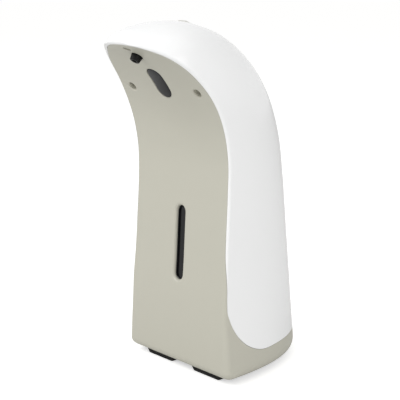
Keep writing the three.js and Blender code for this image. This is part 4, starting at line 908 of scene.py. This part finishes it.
# Battery door: a flat black moulding that fills the opening, hung on two pins at its front edge.
# A springy tongue latches its rear edge, beside a scooped groove for a finger.
door_gap, door_corner, door_edge, latch_edge, latch_root = 0.0004, 0.0011, 0.0002, 0.0003, 0.0005
hinge_y, hinge_z, barrel_reach, pin_reach, pin_end = -0.00325, 0.0044, 0.0009, 0.0006, 0.02695
latch_half, latch_thick, latch_high, grip_run, grip_way = 0.006, 0.0012, 0.0014, 0.0055, 0.0049
door_half = bay_half - door_gap
door_front, door_back = hinge_y, bay_back - door_gap
battery_door = placed(
    slab("battery_door_moulding", door_half, (door_back - door_front) / 2, door_corner, [
        (1, plate_under), (door_edge, plate_under), (0, plate_under + door_edge), (0, plate_top - door_edge),
        (door_edge, plate_top), (1, plate_top)]),
    shifted(0, (door_front + door_back) / 2))


def across(points):
    """Turns a form that stands along z so that it lies along x at the hinge."""
    return np.stack([points[:, 2], points[:, 1] + hinge_y, hinge_z - points[:, 0]], 1)


barrel = placed(pill("barrel", rod(barrel_reach, -door_half, door_half), around=24), across)
pin = placed(
    pill("pin", [
        (0, -pin_end), (pin_reach * 0.7, -pin_end), (pin_reach, -pin_end + door_edge),
        (pin_reach, pin_end - door_edge), (pin_reach * 0.7, pin_end), (0, pin_end)], around=16),
    across)
latch_top = plate_top + latch_high
latch = placed(
    slab("latch", latch_half, latch_thick / 2, latch_edge, [
        (1, plate_top - latch_root), (0, plate_top - latch_root), (0, latch_top - latch_edge),
        (door_edge, latch_top), (1, latch_top)]),
    shifted(0, door_back - latch_thick / 2))
grip = placed(
    pill("grip", [
        (0, -0.002), (0.0021, -0.002), (0.0019, 0.0002), (0.0014, 0.0007), (0.0006, 0.0009), (0, 0.0009)],
        grip_run, around=32),
    lambda p: np.stack([p[:, 1], p[:, 0] + door_back - grip_way, p[:, 2] + plate_under], 1))
cut_away(battery_door, [grip], [barrel, pin, latch], finish=fine_black)
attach(battery_door, "battery_door")
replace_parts(battery_door, "battery_door")


# Feet: four black rubber pads stuck under the base plate, wider at the top than at the floor.
# Each is moulded with slanted ends, soft edges and fine slanting ribs for grip.
foot_inner, foot_outer, rear_foot_outer, foot_slope, foot_corner = 0.0060, 0.0324, 0.0174, 0.0032, 0.0012
foot_rows = {"front": (-0.0149, -0.0064), "rear": (0.0416, 0.0506)}
rib_slant, rib_scale, rib_relief, rib_lift = math.radians(40), 260.0, 0.9, 0.00016
ribbed_rubber = moulded(
    "ribbed_rubber", (0.004, 0.0038, 0.0032), (0.007, 0.0066, 0.0055), 0.6, clouding=0.6, grain=2600.0,
    relief=0.35, IOR=1.33)


def raised(finish, strength, distance, height):
    """Lays a second relief over a material's own."""
    tree = finish.node_tree
    bump = added(
        tree, "Bump", Strength=strength, Distance=distance, Height=height,
        Normal=tree.nodes["Bump"].outputs["Normal"])
    fed(tree, tree.nodes["Principled BSDF"], Normal=bump["Normal"])


rib_tree = ribbed_rubber.node_tree
rib_place = added(rib_tree, "TexCoord")["Object"]
rib_turn = added(rib_tree, "Mapping", Vector=rib_place, Rotation=(0, rib_slant, 0))
rib_wave = added(rib_tree, "TexWave", Vector=rib_turn["Vector"], Scale=rib_scale)
raised(ribbed_rubber, rib_relief, rib_lift, rib_wave["Fac"])


def foot(name, inner, outer, front, back):
    """A foot between four sides: a rounded rectangle whose half length grows by the slope up to the plate."""
    top = plate_under + 0.0001
    half = (outer - inner) / 2
    piece = slab(name, half, (back - front) / 2, foot_corner, [
        (1, 0), (0.0008, 0), (0.0003, 0.0001), (0.0001, 0.0003), (0, 0.0006), (0, 0.0014), (0, 0.0024),
        (0, top), (1, top)])

    def lean(points):
        """Draws the ends in towards the floor, in step with the height."""
        kept = 1 - foot_slope * (1 - points[:, 2] / top) / half
        drawn = points * np.stack([kept, 0 * kept + 1, 0 * kept + 1], 1)
        return drawn + ((inner + outer) / 2, (front + back) / 2, 0)

    placed(piece, lean)
    settled(piece, 35, ribbed_rubber)
    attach(piece, "housing")
    return piece


for name, inner, outer, row in (
        ("foot_front_left", -foot_outer, -foot_inner, "front"),
        ("foot_front_right", foot_inner, foot_outer, "front"),
        ("foot_rear_left", -rear_foot_outer, -foot_inner, "rear"),
        ("foot_rear_right", foot_inner, rear_foot_outer, "rear")):
    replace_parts(foot(f"{name}_pad", inner, outer, *foot_rows[row]), name)


# Power slider: a small black button in the slot at the back of the base, with a flange behind the wall.
# Three ridges are moulded across it for the finger.
button_half, button_high, button_proud, button_corner = 0.0025, 0.0017, 0.00095, 0.0006
flange_more, flange_thick, flange_deep = 0.0011, 0.0009, 0.0050
ridge_half, ridge_step, ridge_sunk = 0.0010, 0.0013, 0.0003
button = slab("power_slider_button", button_high, button_half, button_corner, [
    (1, -flange_deep), (0, -flange_deep), (0, button_proud - 0.0005), (0.00015, button_proud - 0.00025),
    (0.0004, button_proud - 0.00018), (1, button_proud - 0.00018)])
placed(button, on_back)
flange = placed(
    slab("flange", button_high + flange_more, button_half + flange_more, button_corner,
         block(-flange_deep, -flange_deep + flange_thick)),
    on_back)
ridges = []
for shift in (-ridge_step, 0.0, ridge_step):
    ridge = pill("ridge", [
        (0, -ridge_sunk), (0.00036, -ridge_sunk), (0.00036, 0), (0.00025, 0.00022), (0, 0.0003)],
        ridge_half, around=12)
    ridges.append(placed(ridge, lambda p: on_back(
        np.stack([p[:, 1], p[:, 0] + shift, p[:, 2] + button_proud - ridge_sunk], 1))))
cut_away(button, [], [flange, *ridges], sharp=30, finish=fine_black)
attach(button, "power_slider")
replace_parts(button, "power_slider")


# Tank: the soap tank, blown in frosted natural plastic, with the round collar for the filling cap on top.
# Its wall lets the light through, so that the level can be read at the front window.
frosted_clear = moulded(
    "frosted_clear", (0.80, 0.85, 0.86), (0.70, 0.77, 0.78), 0.28, clouding=0.6, grain=1800.0, relief=0.12,
    rubbing=0.08, Transmission_Weight=0.8, IOR=1.49)
painted(frosted_clear, "tank")


# Hoses: the pump hose, and the suction and outlet tubes that are pushed on its ends.
# All three are extruded in soft milky silicone.
milky_silicone = moulded(
    "milky_silicone", (0.78, 0.75, 0.67), (0.69, 0.65, 0.56), 0.36, clouding=0.8, grain=1400.0, relief=0.08,
    Transmission_Weight=0.2, IOR=1.41)
painted(milky_silicone, "pump_hose", "suction_tube", "outlet_tube")


# Inner mouldings: the pump's housing and cover, the deck that carries motor and gears, the battery tray.
# They are moulded in dark grey plastic with a coarse matt face, and screwed or clipped to the base.
dark_moulding = moulded(
    "dark_moulding", (0.26, 0.26, 0.25), (0.205, 0.205, 0.195), 0.45, clouding=0.8, grain=1700.0,
    relief=0.25, lift=0.00003, rubbing=0.1, IOR=1.5)
painted(dark_moulding, "battery_tray", "pump_housing", "pump_cover", "gear_deck")


# Pump rotor, its three rollers and the two gears, moulded in pale slippery plastic.
# The teeth and the running faces are polished by use.
slippery_pale = moulded(
    "slippery_pale", (0.81, 0.77, 0.64), (0.71, 0.66, 0.52), 0.34, clouding=0.9, grain=1500.0, rubbing=0.16,
    IOR=1.48)
painted(slippery_pale, "pump_rotor", "rotor_gear", "reduction_gear")
painted(slippery_pale, *(f"pump_roller_{number}" for number in (1, 2, 3)))


# Metal parts of the drive and the electrics: a drawn motor can, ground pins, a turned brass pinion,
# stamped spring contacts, the frame of the switch and the can of the capacitor.
drawn_can = moulded(
    "drawn_can", (0.46, 0.46, 0.45), (0.37, 0.37, 0.36), 0.36, clouding=0.9, grain=2200.0, relief=0.2,
    lift=0.00001, rubbing=0.25, Metallic=1.0)
ground_steel = moulded(
    "ground_steel", (0.60, 0.59, 0.57), (0.51, 0.50, 0.48), 0.2, clouding=0.6, grain=4000.0, lift=0.00001,
    rubbing=0.2, Metallic=1.0)
turned_brass = moulded(
    "turned_brass", (0.68, 0.48, 0.19), (0.51, 0.33, 0.11), 0.26, clouding=0.8, grain=3600.0, relief=0.12,
    lift=0.00001, rubbing=0.2, Metallic=1.0)
painted(drawn_can, "motor", "power_switch", "capacitor")
painted(ground_steel, "motor_shaft", "gear_pin")
painted(plated_steel, "battery_contact_left", "battery_contact_right")
painted(turned_brass, "motor_pinion")


# Battery cells: four standard cells lying side by side, each turned the other way round from the next.
# Each is a steel can in a shrunk foil wrap, dark with a copper-coloured band at the button end.
cell_button_end, cell_flat_end, cell_band, bare_rough = 0.0229, -0.0194, 0.0125, 0.12
wrap_group, wrap_in = socket_group(
    "foil_wrap",
    [("Wrap", "Color"), ("Band", "Color"), ("Can", "Color"), ("Roughness", "Float"), ("Way", "Float")],
    [("Colour", "Color"), ("Roughness", "Float"), ("Bare", "Float")],
)
wrap_place = added(wrap_group, "SeparateXYZ", added(wrap_group, "TexCoord")["Object"])
wrap_x = sums(wrap_group, "MULTIPLY", wrap_place["X"], wrap_in["Way"])
wrap_button = sums(wrap_group, "GREATER_THAN", wrap_x, cell_button_end)
wrap_flat = sums(wrap_group, "LESS_THAN", wrap_x, cell_flat_end)
wrap_bare = sums(wrap_group, "MAXIMUM", wrap_button, wrap_flat)
wrap_band = mixed(
    wrap_group, sums(wrap_group, "GREATER_THAN", wrap_x, cell_band), wrap_in["Wrap"], wrap_in["Band"])
fed(
    wrap_group, wrap_group.nodes.new("NodeGroupOutput"),
    Colour=mixed(wrap_group, wrap_bare, wrap_band, wrap_in["Can"]),
    Roughness=sums(wrap_group, "MULTIPLY_ADD", wrap_bare, bare_rough, wrap_in["Roughness"]),
    Bare=wrap_bare,
)
for way, numbers in ((1.0, (1, 3)), (-1.0, (2, 4))):
    foil = moulded(
        f"foil_wrap_{numbers[0]}_{numbers[1]}", (0.065, 0.089, 0.117), (0.05, 0.07, 0.095), 0.2,
        clouding=0.8, grain=1500.0, relief=0.06, rubbing=0.12, IOR=1.5)
    tree = foil.node_tree
    face = tree.nodes["Group"].outputs
    wrap = added(
        tree, "Group", node_tree=wrap_group, Wrap=face["Colour"], Band=(0.52, 0.27, 0.13, 1),
        Can=(0.55, 0.55, 0.54, 1), Roughness=face["Roughness"], Way=way)
    fed(
        tree, tree.nodes["Principled BSDF"],
        Base_Color=wrap["Colour"], Roughness=wrap["Roughness"], Metallic=wrap["Bare"])
    painted(foil, *(f"battery_cell_{number}" for number in numbers))


# Circuit boards: the main board, the sensor board behind its window and the switch board.
# Glass-cloth board under green lacquer, through which the copper tracks show as slightly raised paler lines.
tracks, track_in = socket_group(
    "copper_tracks", [("Board", "Color"), ("Track", "Color")], [("Colour", "Color"), ("Height", "Float")])
track_turn = added(
    tracks, "Mapping", Vector=added(tracks, "TexCoord")["Object"], Rotation=(math.pi / 2, 0, 0))
track_lines = added(
    tracks, "TexBrick", Vector=track_turn["Vector"], Color1=track_in["Board"], Color2=track_in["Board"],
    Mortar=track_in["Track"], Scale=1.0, Mortar_Size=0.00022, Brick_Width=0.0046, Row_Height=0.0017)
fed(
    tracks, tracks.nodes.new("NodeGroupOutput"),
    Colour=track_lines["Color"], Height=track_lines["Fac"])
green_board = moulded(
    "green_board", (0.013, 0.098, 0.042), (0.009, 0.07, 0.03), 0.3, clouding=0.8, grain=2600.0,
    rubbing=0.06, IOR=1.52)
board_tree = green_board.node_tree
board_tracks = added(
    board_tree, "Group", node_tree=tracks, Board=board_tree.nodes["Group"].outputs["Colour"],
    Track=(0.04, 0.2, 0.075, 1))
fed(board_tree, board_tree.nodes["Principled BSDF"], Base_Color=board_tracks["Colour"])
raised(green_board, 0.4, 0.00003, board_tracks["Height"])
painted(green_board, "main_board", "sensor_board", "switch_board")


# Electronic parts: the controller in black filled resin, the infrared lamp and the status light cast in clear
# resin, the infrared eye in dark resin, and the flat sensor cable with its black ribbed sheath.
filled_resin = moulded(
    "filled_resin", (0.018, 0.018, 0.019), (0.03, 0.03, 0.03), 0.55, clouding=0.9, grain=3400.0, relief=0.3,
    rubbing=0.06)
clear_resin = moulded(
    "clear_resin", (0.86, 0.87, 0.88), (0.78, 0.8, 0.82), 0.07, grain=1200.0, relief=0.03, lift=0.00001,
    rubbing=0.04, Transmission_Weight=0.9, IOR=1.53)
dark_resin = moulded(
    "dark_resin", (0.02, 0.014, 0.022), (0.012, 0.009, 0.014), 0.1, grain=1200.0, relief=0.03, lift=0.00001,
    rubbing=0.04, IOR=1.53)
ribbon_sheath = moulded(
    "ribbon_sheath", (0.02, 0.02, 0.021), (0.034, 0.034, 0.034), 0.48, clouding=0.8, grain=2400.0,
    relief=0.3, rubbing=0.1)
painted(filled_resin, "controller_chip")
painted(clear_resin, "infrared_lamp", "status_light")
painted(dark_resin, "infrared_eye")
painted(ribbon_sheath, "sensor_cable")
